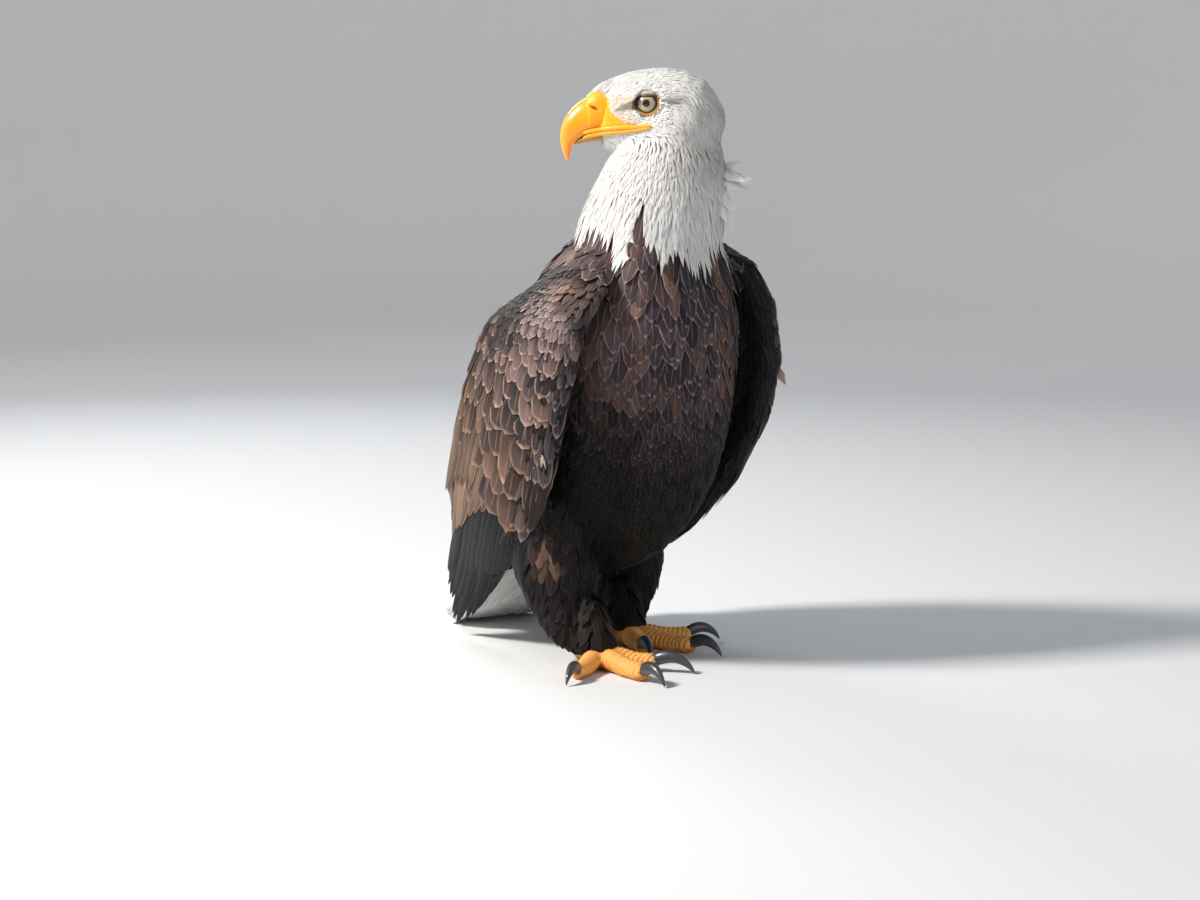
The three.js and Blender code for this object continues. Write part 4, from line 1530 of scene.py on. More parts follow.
    def _head(self, rng: np.random.Generator) -> tuple[Plumes, VaneCut]:
        """The short feathers of the crown, cheeks, throat and nape."""
        centres = self.guide.centres
        local = self.guide.frame.head_local(centres)
        face = (local[:, 0] > -14) & (np.abs(local[:, 2] - 1) < 18) & (np.abs(local[:, 1]) > 11)
        low = self._in(Zone.HEAD, Zone.NECK) & (centres[:, 2] > 452)
        allowed = (self._in(Zone.HEAD) | low) & ~face & ~self._bare(centres)
        at, tri = self.guide.scatter(1.75 + 0.8 * ramp(10, -60, local[:, 0]), allowed, rng)
        local = self.guide.frame.head_local(at)
        size = np.clip(0.6 * ramp(30, -60, local[:, 0]) + 0.9 * ramp(-24, -66, local[:, 2]), 0, 1.3)
        colours = (self.markings.whites(at), self.markings.white_rim, 0.4)
        plumes = self._dress(
            at, tri, 9.5 + 15.0 * size, 1.25 + 0.45 * size, 0.05 + 0.25 * size, colours, rng, 0.05, 0.3
        )
        return plumes, VaneCut(
            rings=5, base=0.5, widest=0.45, blunt=0.9, thick=0.22, sway=0.07, roll=0.06, fray=0.05, notch=0.0,
            locks=0.08, cling=2.5,
        )

    def _forehead(self, rng: np.random.Generator) -> tuple[Plumes, VaneCut]:
        """The point of small feathers that runs forward over the top of the cere."""
        frame, rows = self.guide.frame, np.array(Bill.swelling)
        at, face = [], []
        for step in np.linspace(*self.point_rows, self.point_count):
            ridge_x, ridge_z, edge_x, edge_z, wide = between(step, np.arange(len(rows)), rows)
            foot, head = np.array([edge_x, 0.0, edge_z]), np.array([ridge_x, 0.0, ridge_z])
            ring = rounded_section(foot, head, wide, np.array([0.0, 1.0, 0.0]), 64, *Bill.swelling_cut)
            middle = 0.5 * (foot + head)
            edge = np.interp(ring[:, 0], self.point_reach, self.point_edge)
            over = ring[:, 2] > edge + rng.uniform(-self.point_ragged, self.point_ragged, len(ring))
            some = ring[over & (rng.random(len(ring)) < self.point_kept)]
            at.append(some)
            face.append(unit(some - middle))
        place, out = np.concatenate(at), np.concatenate(face)
        place = place + rng.normal(0.0, 0.35, place.shape) + 0.1 * out
        heading = flat_part(np.array([-1.0, 0.0, 0.62]), out) + 0.22 * out
        bird = frame.from_head(place)
        _, tri, _ = self.guide.near(bird)
        colours = (self.markings.whites(bird), self.markings.white_rim, 0.3)
        lift = 0.6 + 2.6 * ramp(4.0, 14.0, place[:, 2])
        plumes = self._dress(bird, tri, 8.0, 0.85, lift, colours, rng, 0.04, 0.2)
        plumes.heading = np.array([frame.head_turn(h) for h in unit(heading)])
        plumes.face = np.array([frame.head_turn(f) for f in out])
        plumes.sink = np.full(len(place), 0.3)
        return plumes, VaneCut(
            rings=4, base=0.6, widest=0.45, blunt=0.9, thick=0.2, sway=0.10, fray=0.05, notch=0.0, steer=0.0,
            stick=0.0, free=True,
        )

    def _hackles(self, rng: np.random.Generator) -> tuple[Plumes, VaneCut]:
        """The long pointed locks of the neck, down to the hood's ragged hem."""
        centres = self.guide.centres
        allowed = self._in(Zone.HEAD, Zone.NECK, Zone.TRUNK) & (centres[:, 2] < 474)
        allowed &= (centres[:, 2] > 340) & ~self.markings.naked(centres)

        above = centres[:, 2] - self.markings.hem(centres)
        allowed &= above > 0.72 * (21.0 + 27.0 * ramp(472, 400, centres[:, 2]))
        at, tri = self.guide.scatter(2.4 + 0.6 * ramp(470, 400, centres[:, 2]), allowed, rng)
        low = ramp(472, 400, at[:, 2])
        colours = (self.markings.whites(at), self.markings.white_rim, 0.5)
        ruffle = 0.1 + 0.3 * ramp(430, 395, at[:, 2])
        plumes = self._dress(
            at, tri, 21.0 + 27.0 * low, 1.8 + 1.3 * low, 0.35 * low, colours, rng, 0.03, ruffle
        )
        return plumes, VaneCut(
            rings=6, base=0.45, widest=0.5, round_off=1.6, blunt=1.0, thick=0.1, sway=0.03, roll=0.02,
            fray=0.05, notch=0.0, camber=0.04, steer=0.35, bend=0.03, locks=0.28, cling=2.0,
        )

    def _tufts(self, rng: np.random.Generator) -> tuple[Plumes, VaneCut]:
        """The few locks and stray feathers that stand out."""
        lots: list[Plumes] = []
        for tuft in TUFTS:
            count = tuft.number
            at = np.array(tuft.at) + rng.normal(0.0, tuft.spread, (count, 3))
            place, tri, _ = self.guide.near(at)
            heading = unit(np.array(tuft.heading) + rng.normal(0.0, tuft.fan, (count, 3)))
            colours = (tuft.colour, np.clip(np.array(tuft.colour) * 1.06, 0, 1), 0.5)
            lot = self._dress(place, tri, tuft.length, tuft.half, 0.5, colours, rng, 0.05)
            lot.sink, lot.heading = np.full(count, 4.0), heading
            lot.face = 0.3 * self.guide.tri_normals[tri] + np.array([-0.45, -0.75, 0.45])
            lots.append(lot)
        return Plumes.joined(lots), VaneCut(
            rings=9, base=0.5, widest=0.35, round_off=1.2, blunt=1.1, thick=0.6, sway=0.03, fray=0.10,
            notch=0.08, camber=0.3, steer=0.0, stick=0.0, bend=0.06, free=True,
        )

    def _trunk(self, rng: np.random.Generator) -> tuple[Plumes, VaneCut]:
        """Breast, belly, flanks, mantle and rump."""
        centres = self.guide.centres
        white = self.markings.is_white(centres + [0, 0, -26], self.guide.tri_zone)
        allowed = self._in(Zone.TRUNK, Zone.NECK) & ~white & (centres[:, 2] < 440)
        at, tri = self.guide.scatter(6.2 + 2.6 * ramp(190, 320, centres[:, 2]), allowed, rng)
        high = ramp(190, 320, at[:, 2])
        rear = ramp(-10, 40, at[:, 1])
        plume, rim, edge = self.markings.trunk(at)
        brown = (rng.random(len(at)) < 0.5) * rng.uniform(0.2, 0.9, len(at)) * (1 - rear) * high**2
        plume = blend(plume, self.markings.brown, brown)
        plumes = self._dress(
            at, tri, 27 + 19 * high + 3 * rear, 5.8 + 3.0 * high + 0.2 * rear, 0.2 + 0.6 * high,
            (plume, rim, edge), rng, 0.24,
        )
        return plumes, VaneCut(
            rings=7, columns=5, base=0.4, widest=0.5, round_off=1.9, blunt=0.75, thick=0.4, sway=0.09,
            roll=0.10, fray=0.05, notch=0.03, locks=0.10,
        )

    def _thighs(self, rng: np.random.Generator) -> tuple[Plumes, VaneCut]:
        """The soft trousers."""
        clear = self.guide.centres[:, 1] < 92.0
        at, tri = self.guide.scatter(6.8, self._in(Zone.THIGH) & clear, rng)
        colour = blend(self.markings.thigh, self.markings.rust, self.markings.rusty(at))
        short = ramp(60, 22, at[:, 2])
        plumes = self._dress(
            at, tri, 36 - 20 * short, 5.8 - 1.6 * short, 1.4 - 0.9 * short,
            (colour, self.markings.thigh_rim, 0.5), rng, 0.24,
        )
        return plumes, VaneCut(
            rings=7, columns=5, base=0.4, widest=0.55, round_off=2.0, blunt=0.7, sway=0.10, roll=0.14,
            fray=0.10, notch=0.08,
        )

    def _lining(self, rng: np.random.Generator) -> tuple[Plumes, VaneCut]:
        """The wings' inner faces and edges, where no row lies."""
        centres = self.guide.centres
        covered = np.zeros(len(centres), bool)
        for side, plan in WINGS.items():
            reach = plan.nearest(centres)
            facing = np.sum(self.guide.tri_normals * plan.outward(reach), axis=1)
            across = np.sum((centres - plan.at(reach)) * plan.chord(reach), axis=1)
            rows = (facing > 0.45) & (across > -36.0) | (reach > 338.0)
            covered |= (np.sign(centres[:, 0]) == side.value) & rows
        allowed = self._in(Zone.COVERTS, Zone.FLIGHT) & ~covered
        at, tri = self.guide.scatter(6.6, allowed, rng)
        upper = ramp(290, 330, at[:, 2]) * (at[:, 0] < 0)
        rear = 0.85 * ramp(-30, 14, at[:, 1]) * ramp(120, 160, at[:, 2]) * (1 - upper)
        colour = blend(blend(tone(26, 25, 28), tone(76, 64, 64), upper), self.markings.back, rear)
        rim = blend(blend(tone(70, 64, 64), tone(150, 128, 118), upper), self.markings.back_rim, rear)
        plumes = self._dress(
            at, tri, 27.0 - 9.0 * upper, 5.0 - 1.2 * upper, 0.0, (colour, rim, 0.6), rng, 0.2
        )
        return plumes, VaneCut(rings=6, columns=5, base=0.5, widest=0.6, blunt=0.6, sway=0.06)

    def _coverts(self, rng: np.random.Generator) -> tuple[Plumes, VaneCut]:
        """The rows of the wings' outer faces."""
        parts = [WingRows(self.guide, plan).coverts(rng) for plan in WINGS.values()]
        return Plumes.joined(parts), VaneCut(
            rings=9, columns=5, base=0.5, widest=0.6, round_off=2.2, blunt=0.55, camber=0.14, thick=0.4,
            sway=0.05, roll=0.05, lay=0.05, fray=0.03, notch=0.03, stick=0.8, steer=0.3,
        )

    def _flights(self, rng: np.random.Generator) -> tuple[Plumes, VaneCut]:
        """The long feathers of the folded wings."""
        parts = [WingRows(self.guide, plan).flights(rng) for plan in WINGS.values()]
        return Plumes.joined(parts), VaneCut(
            rings=15, columns=5, base=0.8, widest=0.5, round_off=2.5, blunt=0.8, camber=0.16, thick=0.7,
            sway=0.015, roll=0.03, lay=0.10, fray=0.02, notch=0.01, stick=0.75, steer=0.2, bend=0.006,
            bow=0.5,
        )

    def _tail(self, rng: np.random.Generator) -> tuple[Plumes, VaneCut]:
        """The white tail with its coverts."""
        centres = self.guide.centres
        bare_end = (centres[:, 1] > 176.0) & (self.guide.tri_normals[:, 2] > -0.4)
        allowed = self._in(Zone.TAIL) & (centres[:, 1] < self.tail_end - 40.0) & ~bare_end
        at, tri = self.guide.scatter(7.5, allowed, rng)
        count = len(at)
        long = ramp(40, 150, at[:, 1])
        room = np.maximum((self.tail_end - at[:, 1]) / 0.84, 6.0)
        colours = (self.markings.white, self.markings.white_rim, 0.6)
        plumes = self._dress(at, tri, 1.0, 4.6 + 2.6 * long, 0.3, colours, rng, 0.04)
        wanted = (34 + 30 * long) * rng.uniform(0.85, 1.1, count)
        plumes.length = np.minimum(wanted, room * rng.uniform(0.9, 1.0, count))
        plumes.half = np.minimum(plumes.half, 0.3 * plumes.length)
        return plumes, VaneCut(
            rings=8, base=0.5, widest=0.55, blunt=0.7, thick=0.3, sway=0.05, fray=0.12, notch=0.12
        )

    def _rectrices(self, rng: np.random.Generator) -> tuple[Plumes, VaneCut]:
        """The tail's long feathers, fanned, in two lots of twelve and eleven under ten shorter ones."""
        lots: list[Plumes] = []
        centres = self.guide.centres
        top = np.flatnonzero(self._in(Zone.TAIL) & (self.guide.tri_normals[:, 2] > 0.4))
        for number, start, spare, lift in self.fans:
            place = np.linspace(-1.0, 1.0, number)
            across, height = self.root_half * place, np.full(number, self.root_height)
            root = np.stack([across, start + 6 * place**2, height], axis=1)
            tri = top[np.argmin(np.linalg.norm(centres[top][None] - root[:, None], axis=2), axis=1)]
            at = centres[tri]
            end = self.tail_end - spare - 16.0 * place**2 - rng.uniform(0.0, 5.0, number)
            goal = np.stack([self.tip_half * place, end, 7.0 + 0.7 * (self.tail_end - end)], axis=1)
            colours = (self.markings.white, self.markings.white_rim, 0.6)
            lot = self._dress(at, tri, 1.0, 8.8, lift + 0.8 * (1 - np.abs(place)), colours, rng, 0.03, 0.3)
            lot.heading, lot.length = unit(goal - at), 1.07 * np.linalg.norm(goal - at, axis=1)
            lot.leave, lot.aim = lot.length - 44.0, unit((goal - at) * np.array([1.0, 1.0, 0.62]))
            lots.append(lot)
        return Plumes.joined(lots), VaneCut(
            rings=16, columns=5, base=0.7, widest=0.7, round_off=3.0, blunt=0.6, camber=0.12, thick=0.5,
            sway=0.008, roll=0.02, fray=0.03, notch=0.04, stick=0.75, steer=0.12, bend=0.004, bow=0.5,
        )


@dataclass
class WingRows:
    """Staggered rows of feathers over a folded wing's outer face."""

    guide: Guide
    plan: WingPlan
    rays: int = 90
    first_row: float = -12.0
    last_row: float = 206.0
    leave_at: float = 352.0  # the length from the shoulder past which the long feathers stand free
    pitch: float = 0.40  # the distance between rows, as a share of a feather's length
    tip_spread: float = 46.0  # how far apart the folded wing's longest tips end
    # Along the wing from the shoulder: half widths, lengths, colours and rim colours.
    stops: tuple[float, ...] = (-12, 32, 44, 62, 86, 116, 150, 200)
    half_widths: tuple[float, ...] = (6.0, 4.6, 2.3, 3.6, 8.2, 13.5, 16.5, 15.5)
    lengths: tuple[float, ...] = (26, 22, 16, 21, 34, 50, 62, 66)
    plume_tones: tuple[Tone, ...] = (
        tone(46, 40, 40), tone(56, 48, 50), tone(116, 103, 106), tone(124, 106, 105), tone(106, 88, 85),
        tone(98, 79, 75), tone(96, 76, 69), tone(92, 72, 64),
    )
    rim_tones: tuple[Tone, ...] = (
        tone(98, 86, 83), tone(108, 94, 92), tone(176, 162, 162), tone(184, 164, 158), tone(186, 156, 140),
        tone(186, 152, 132), tone(180, 144, 120), tone(172, 134, 108),
    )
    # Each lot of flight feathers: reach, gap, half width, first and last share, lengths, lift and brownness.
    flight_rows: tuple[tuple[float, float, float, float, float, tuple[float, ...], float, float], ...] = (
        (320, 8.0, 5.8, 0.0, 1.0, (56, 154, 96, 134), 0.0, 0.0),
        (278, 8.5, 6.2, 0.0, 1.0, (88, 184, 126, 164), 0.6, 0.0),
        (236, 9.5, 6.4, 0.0, 1.0, (116, 208, 156, 186), 1.3, 0.0),
        (212, 10.5, 6.8, 0.34, 1.0, (60, 128, 192, 158), 2.1, 1.0),
        (192, 9.0, 4.8, 0.50, 1.0, (74, 92, 124, 150), 2.9, 0.8),
        (180, 6.0, 3.2, 0.0, 0.13, (96, 92, 88, 84), 2.6, 0.2),
    )
    dark_tone: Tone = tone(56, 47, 52)
    # Painted shade for the left wing, which is turned from the light.
    left_wing_shade_tone: Tone = tone(22, 22, 27)  # the left wing, which is turned from the light
    ink: Tone = tone(10, 11, 14)
    ink_rim: Tone = tone(44, 52, 58)
    tips_at: float = 445.0  # the length from the shoulder at which the long feathers end
    rear_tone: Tone = tone(92, 74, 62)
    rear_rim: Tone = tone(176, 140, 116)
    front_tone: Tone = tone(84, 78, 82)
    front_rim: Tone = tone(150, 136, 130)

    def section(self, reach: float) -> tuple[Array, Array, Array]:
        """The outer face where it is cut across at a length from the shoulder.

        Args:
            reach: the length from the shoulder, in mm.

        Returns:
            The points from the front edge round to the back edge, their triangles, and the length along them.
        """
        guide, plan = self.guide, self.plan
        centre, chord, outward = plan.at(reach), plan.chord(reach), plan.outward(reach)
        wings = {zone.value for zone in WING_ZONES}
        places: list[Array] = []
        owners: list[int] = []
        for share in np.linspace(0.0, 1.0, self.rays):
            turn = float(np.interp(share, [0, 0.16, 0.74, 1], [-1.75, -0.25, 0.25, 1.9]))
            foot = float(np.interp(share, [0, 0.16, 0.80, 1], [-28, -42, 62, 46]))
            aim = outward * math.cos(turn) + chord * math.sin(turn)
            start = centre + chord * foot + aim * 160.0
            hit, normal, tri, _ = guide.tree.ray_cast(start.tolist(), (-aim).tolist(), 230.0)
            if hit is None or guide.tri_zone[tri] not in wings:
                continue
            if np.sign(hit[0]) != plan.side.value:
                continue
            places.append(np.array(hit))
            owners.append(tri)
        if len(places) < 6:
            return np.empty((0, 3)), np.empty(0, int), np.empty(0)
        at = np.array(places)
        legs = np.linalg.norm(np.diff(at, axis=0), axis=1)
        return at, np.array(owners), np.concatenate([[0.0], np.cumsum(legs)])

    def row(self, reach: float, gap: float, offset: float) -> tuple[Array, Array, Array]:
        """Evenly spaced roots across the wing.

        Args:
            reach: the row's length from the shoulder.
            gap: the space between roots.
            offset: where the first one stands, as a share of the gap.

        Returns:
            The roots, their triangles and their share of the way from the front edge to the back.
        """
        at, tri, arc = self.section(reach)
        if not len(at):
            return at, tri, arc
        marks = np.arange(gap * offset, arc[-1], gap)
        index = np.clip(np.searchsorted(arc, marks), 0, len(tri) - 1)
        return between(marks, arc, at), tri[index], marks / arc[-1]

    def coverts(self, rng: np.random.Generator) -> Plumes:
        """Lesser, median and greater coverts and the scapulars, growing from the shoulder down."""
        rows: list[Plumes] = []
        reach, turn = self.first_row, 0
        while reach < self.last_row:
            size = float(np.interp(reach, self.stops, self.half_widths))
            long = float(np.interp(reach, self.stops, self.lengths))
            for low, high, thin, stretch in self._bands(reach):
                roots, tri, share = self.row(reach, 1.3 * size * thin, 0.5 * (turn % 2) + 0.1)
                keep = (share >= low) & (share < high)
                if keep.any():
                    some = (roots[keep], tri[keep], share[keep])
                    rows.append(self._made(*some, reach, size * thin, long * stretch, rng))
            reach += long * self.pitch * (0.72 if reach < 90 else 1.05)
            turn += 1
        return Plumes.joined(rows)

    @staticmethod
    def _bands(reach: float) -> tuple[tuple[float, float, float, float], ...]:
        """Parts of a row, front to back: where each starts and ends, and its feathers' width and length."""
        if reach < 60:
            return ((0.0, 1.01, 1.0, 1.0),)
        slim = float(np.interp(reach, [60, 86, 116, 200], [0.8, 0.55, 0.42, 0.42]))
        return ((0.0, 0.20, 0.40, 1.05), (0.12, 0.56, 1.0, 1.0), (0.54, 1.01, slim, 0.95))

    def _made(
        self, roots: Array, tri: Array, share: Array, reach: float, size: float, long: float,
        rng: np.random.Generator,
    ) -> Plumes:
        """Part of a row's feathers, with the wing's colours.

        Args:
            roots: their roots.
            tri: the roots' triangles.
            share: their share of the way from the front edge to the back.
            reach: the row's length from the shoulder.
            size: their half width.
            long: their length.
            rng: the source of random numbers.

        Returns:
            The feathers.
        """
        count = len(roots)
        own = reach + rng.normal(0.0, 7.0, count)
        arch = 36.0 + 44.0 * ramp(0.15, 0.58, share)
        plume, rim = self._tones(own, self.plume_tones), self._tones(own, self.rim_tones)
        mantle = ramp(arch + 4.0, arch - 6.0, own)
        rear = ramp(0.52, 0.85, share) * ramp(70, 120, own)
        front = ramp(0.14, 0.04, share) * ramp(60, 110, own)
        for part, inner, outer in (
            (mantle, self.plume_tones[0], self.rim_tones[0]), (rear, self.rear_tone, self.rear_rim),
            (front, self.front_tone, self.front_rim),
        ):
            plume, rim = blend(plume, inner, part), blend(rim, outer, part)
        dusk = (rng.random(count) < 0.48 * ramp(58, 92, own)) * rng.uniform(0.6, 1.0, count)
        plume = blend(plume, self.dark_tone, dusk)
        shade = np.exp(rng.normal(0, 0.2 + 0.14 * rear, count))[:, None]
        tint = 1 + rng.normal(0, 0.06, (count, 1)) * np.array([1.0, 0.0, -1.0])
        jitter = rng.normal(0, 0.13, (count, 3)) * size
        edge = rng.uniform(0.35, 0.9, count) * (1 - 0.5 * mantle)
        if self.plan.side is Side.RIGHT:
            plume = blend(plume, Markings.tan, 0.8 * Markings.tanned(roots))
        else:
            # Painted shade: the left wing, turned from the key light, is painted darker and its rims duller.
            painted_left_shade = 0.66 - 0.4 * ramp(0.45, 0.75, share)
            plume = blend(plume, self.left_wing_shade_tone, painted_left_shade)
            rim, edge = rim * (1 - 0.6 * painted_left_shade)[:, None], edge * (1 - 0.5 * painted_left_shade)
        return Plumes(
            roots + jitter, tri, long * np.exp(rng.normal(0, 0.09, count)),
            size * np.exp(rng.normal(0, 0.08, count)),
            rng.uniform(0.1, 0.4, count) + 0.06 * size + 1.3 * ramp(140, 200, reach),
            plume * shade * tint, rim, edge,
        )

    def _tones(self, reach: Array, tones: Sequence[Tone]) -> Array:
        """A colour for each length from the shoulder."""
        return between(reach, self.stops, np.array(tones))

    def flights(self, rng: np.random.Generator) -> Plumes:
        """Secondaries over primaries: each lot lies a little higher than the one before."""
        rows: list[Plumes] = []
        plan, leave_at = self.plan, self.leave_at
        spread = self.tip_spread if plan.side is Side.RIGHT else 0.5 * self.tip_spread
        for reach, gap, half, low, high, long, lift, brown in self.flight_rows:
            roots, tri, share = self.row(reach, gap, 0.4)
            keep = (share >= low) & (share <= high)
            facing = self.guide.tri_normals[tri] @ plan.outward(reach)
            keep &= (facing > 0.3) | (brown > 0.1)
            roots, tri, share = roots[keep], tri[keep], share[keep]
            count = len(roots)
            if not count:
                continue
            reaching = np.interp(share, np.linspace(low, high, 4), long)
            reaching = reaching * rng.uniform(0.92 - 0.1 * brown, 1.0, count)
            goal = plan.at(self.tips_at) + np.outer((share - 0.5) * spread, plan.chord(self.tips_at))
            start = plan.at(leave_at) + np.outer(np.interp(share, [0, 1], [-30, 42]), plan.chord(leave_at))
            plume = np.array(self.rear_tone) * 1.15 * brown + np.array(self.ink) * (1 - brown)
            rim = np.array(self.rear_rim) * brown + np.array(self.ink_rim) * (1 - brown)
            shade = np.exp(rng.normal(0, 0.34 - 0.06 * brown, count))[:, None]
            # Painted shade: the left wing's long feathers are painted darker.
            if plan.side is Side.LEFT:
                shade = shade * (0.9 - 0.4 * brown)
            elif not rows:
                shade = shade * 0.9
            rows.append(
                Plumes(
                    roots, tri, reaching * rng.uniform(0.95, 1.03, count),
                    half * rng.uniform(0.92, 1.08, count),
                    lift + rng.uniform(0.0, 0.9, count), plume * shade, np.tile(rim, (count, 1)),
                    rng.uniform(0.3, 1.0, count), leave=np.full(count, leave_at - reach),
                    aim=unit(goal - start),
                )
            )
        return Plumes.joined(rows)


# --------------------------------------------------------------------------- eyes, bill, feet and claws


class Loft:
    """A tube drawn out ring by ring from a circle, in bird millimetres."""

    def __init__(self, segments: int) -> None:
        """Starts from one circle of that many points."""
        self.bm = bmesh.new()
        made = bmesh.ops.create_circle(self.bm, cap_ends=False, segments=segments, radius=1.0)
        self.ring: list[bmesh.types.BMVert] = list(made["verts"])
        self.rings: list[list[bmesh.types.BMVert]] = []

    def add(self, points: Array) -> None:
        """Places the first ring, or draws a new one out from the last, at some points in order."""
        if self.rings:
            pairs = zip(self.ring, self.ring[1:] + self.ring[:1])
            edges = [e for a, b in pairs for e in a.link_edges if e.other_vert(a) is b]
            made = bmesh.ops.extrude_edge_only(self.bm, edges=edges)["geom"]
            fresh = {g for g in made if isinstance(g, bmesh.types.BMVert)}
            self.ring = [
                next(e.other_vert(v) for e in v.link_edges if e.other_vert(v) in fresh) for v in self.ring
            ]
        for vert, at in zip(self.ring, np.asarray(points, float).tolist()):
            vert.co = at
        self.rings.append(self.ring)

    def close(self, first: bool = True, last: bool = True) -> None:
        """Draws the end rings together in a point each."""
        for wanted, ring in ((first, self.rings[0]), (last, self.rings[-1])):
            if wanted:
                middle = sum((v.co for v in ring), Vector()) / len(ring)
                bmesh.ops.pointmerge(self.bm, verts=ring, merge_co=middle)

    def join(self, other: "Loft") -> None:
        """Takes in another loft's mesh."""
        take_in(self.bm, other.bm)

    def finish(
        self, name: str, frame: BirdFrame, material: bpy.types.Material | None, levels: int = 2
    ) -> bpy.types.Object:
        """Turns the faces outwards and makes the object.

        Args:
            name: the piece's name.
            frame: the bird's frame.
            material: its material, if it is known already.
            levels: how often Subdivision Surface is applied.

        Returns:
            The object, at the origin, with its subdivision in its mesh.
        """
        bmesh.ops.recalc_face_normals(self.bm, faces=self.bm.faces)
        for vert in self.bm.verts:
            vert.co = Vector(frame.to_model(np.array(vert.co)))
        mesh = mesh_of(self.bm, name)
        smooth_shaded(mesh)
        ob = placed(name, mesh)
        rounder = ob.modifiers.new("rounder", "SUBSURF")
        rounder.levels = rounder.render_levels = levels
        made = evaluated(ob)
        ob.modifiers.clear()
        ob.data = made
        bpy.data.meshes.remove(mesh)
        made.name = name
        if material is not None:
            ob.data.materials.append(material)
        return ob


def bird_points(ob: bpy.types.Object, frame: BirdFrame) -> Array:
    """An object's points, in bird millimetres."""
    flat = np.empty(len(ob.data.vertices) * 3, np.float32)
    ob.data.vertices.foreach_get("co", flat)
    return frame.to_bird(flat.reshape(-1, 3))


def move_points(ob: bpy.types.Object, frame: BirdFrame, points: Array) -> None:
    """Sets an object's points from bird millimetres."""
    ob.data.vertices.foreach_set("co", frame.to_model(points).astype(np.float32).ravel())
    ob.data.update()


def point_normals(ob: bpy.types.Object) -> Array:
    """An object's normals at its points."""
    flat = np.empty(len(ob.data.vertices) * 3, np.float32)
    ob.data.vertex_normals.foreach_get("vector", flat)
    return flat.reshape(-1, 3).astype(float)


def mark_points(ob: bpy.types.Object, name: str, values: Array) -> None:
    """Keeps one number for each point of an object, for its material."""
    layer = ob.data.attributes.new(name, "FLOAT", "POINT")
    layer.data.foreach_set("value", values.astype(np.float32))


def settle(piece: bpy.types.Object, slot: str, *nodes: str) -> bpy.types.Object:
    """Lets a piece ride on the body and stand for its nodes."""
    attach(piece, "root")
    if nodes:
        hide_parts(*nodes)
    LOG.info("%s: %d faces", piece.name, len(piece.data.polygons))
    return piece


def rounded_section(
    foot: Array, head: Array, wide: float, leftward: Array, segments: int, square: float, belly: float
) -> Array:
    """A closed section between a lower and an upper point.

    Args:
        foot: the lowest point.
        head: the highest point.
        wide: the half width.
        leftward: the direction of the width.
        segments: how many points it has.
        square: under 1 for fuller sides.
        belly: the share of the height at which it is widest.

    Returns:
        The section's points.
    """
    angle = 2 * np.pi * np.arange(segments) / segments
    height = 0.5 * (1 - np.cos(angle))
    skewed = height ** (math.log(0.5) / math.log(belly))
    out = np.sign(np.sin(angle)) * np.abs(np.sin(np.arccos(1 - 2 * skewed))) ** square
    return foot + np.outer(height, head - foot) + np.outer(out * wide, leftward)


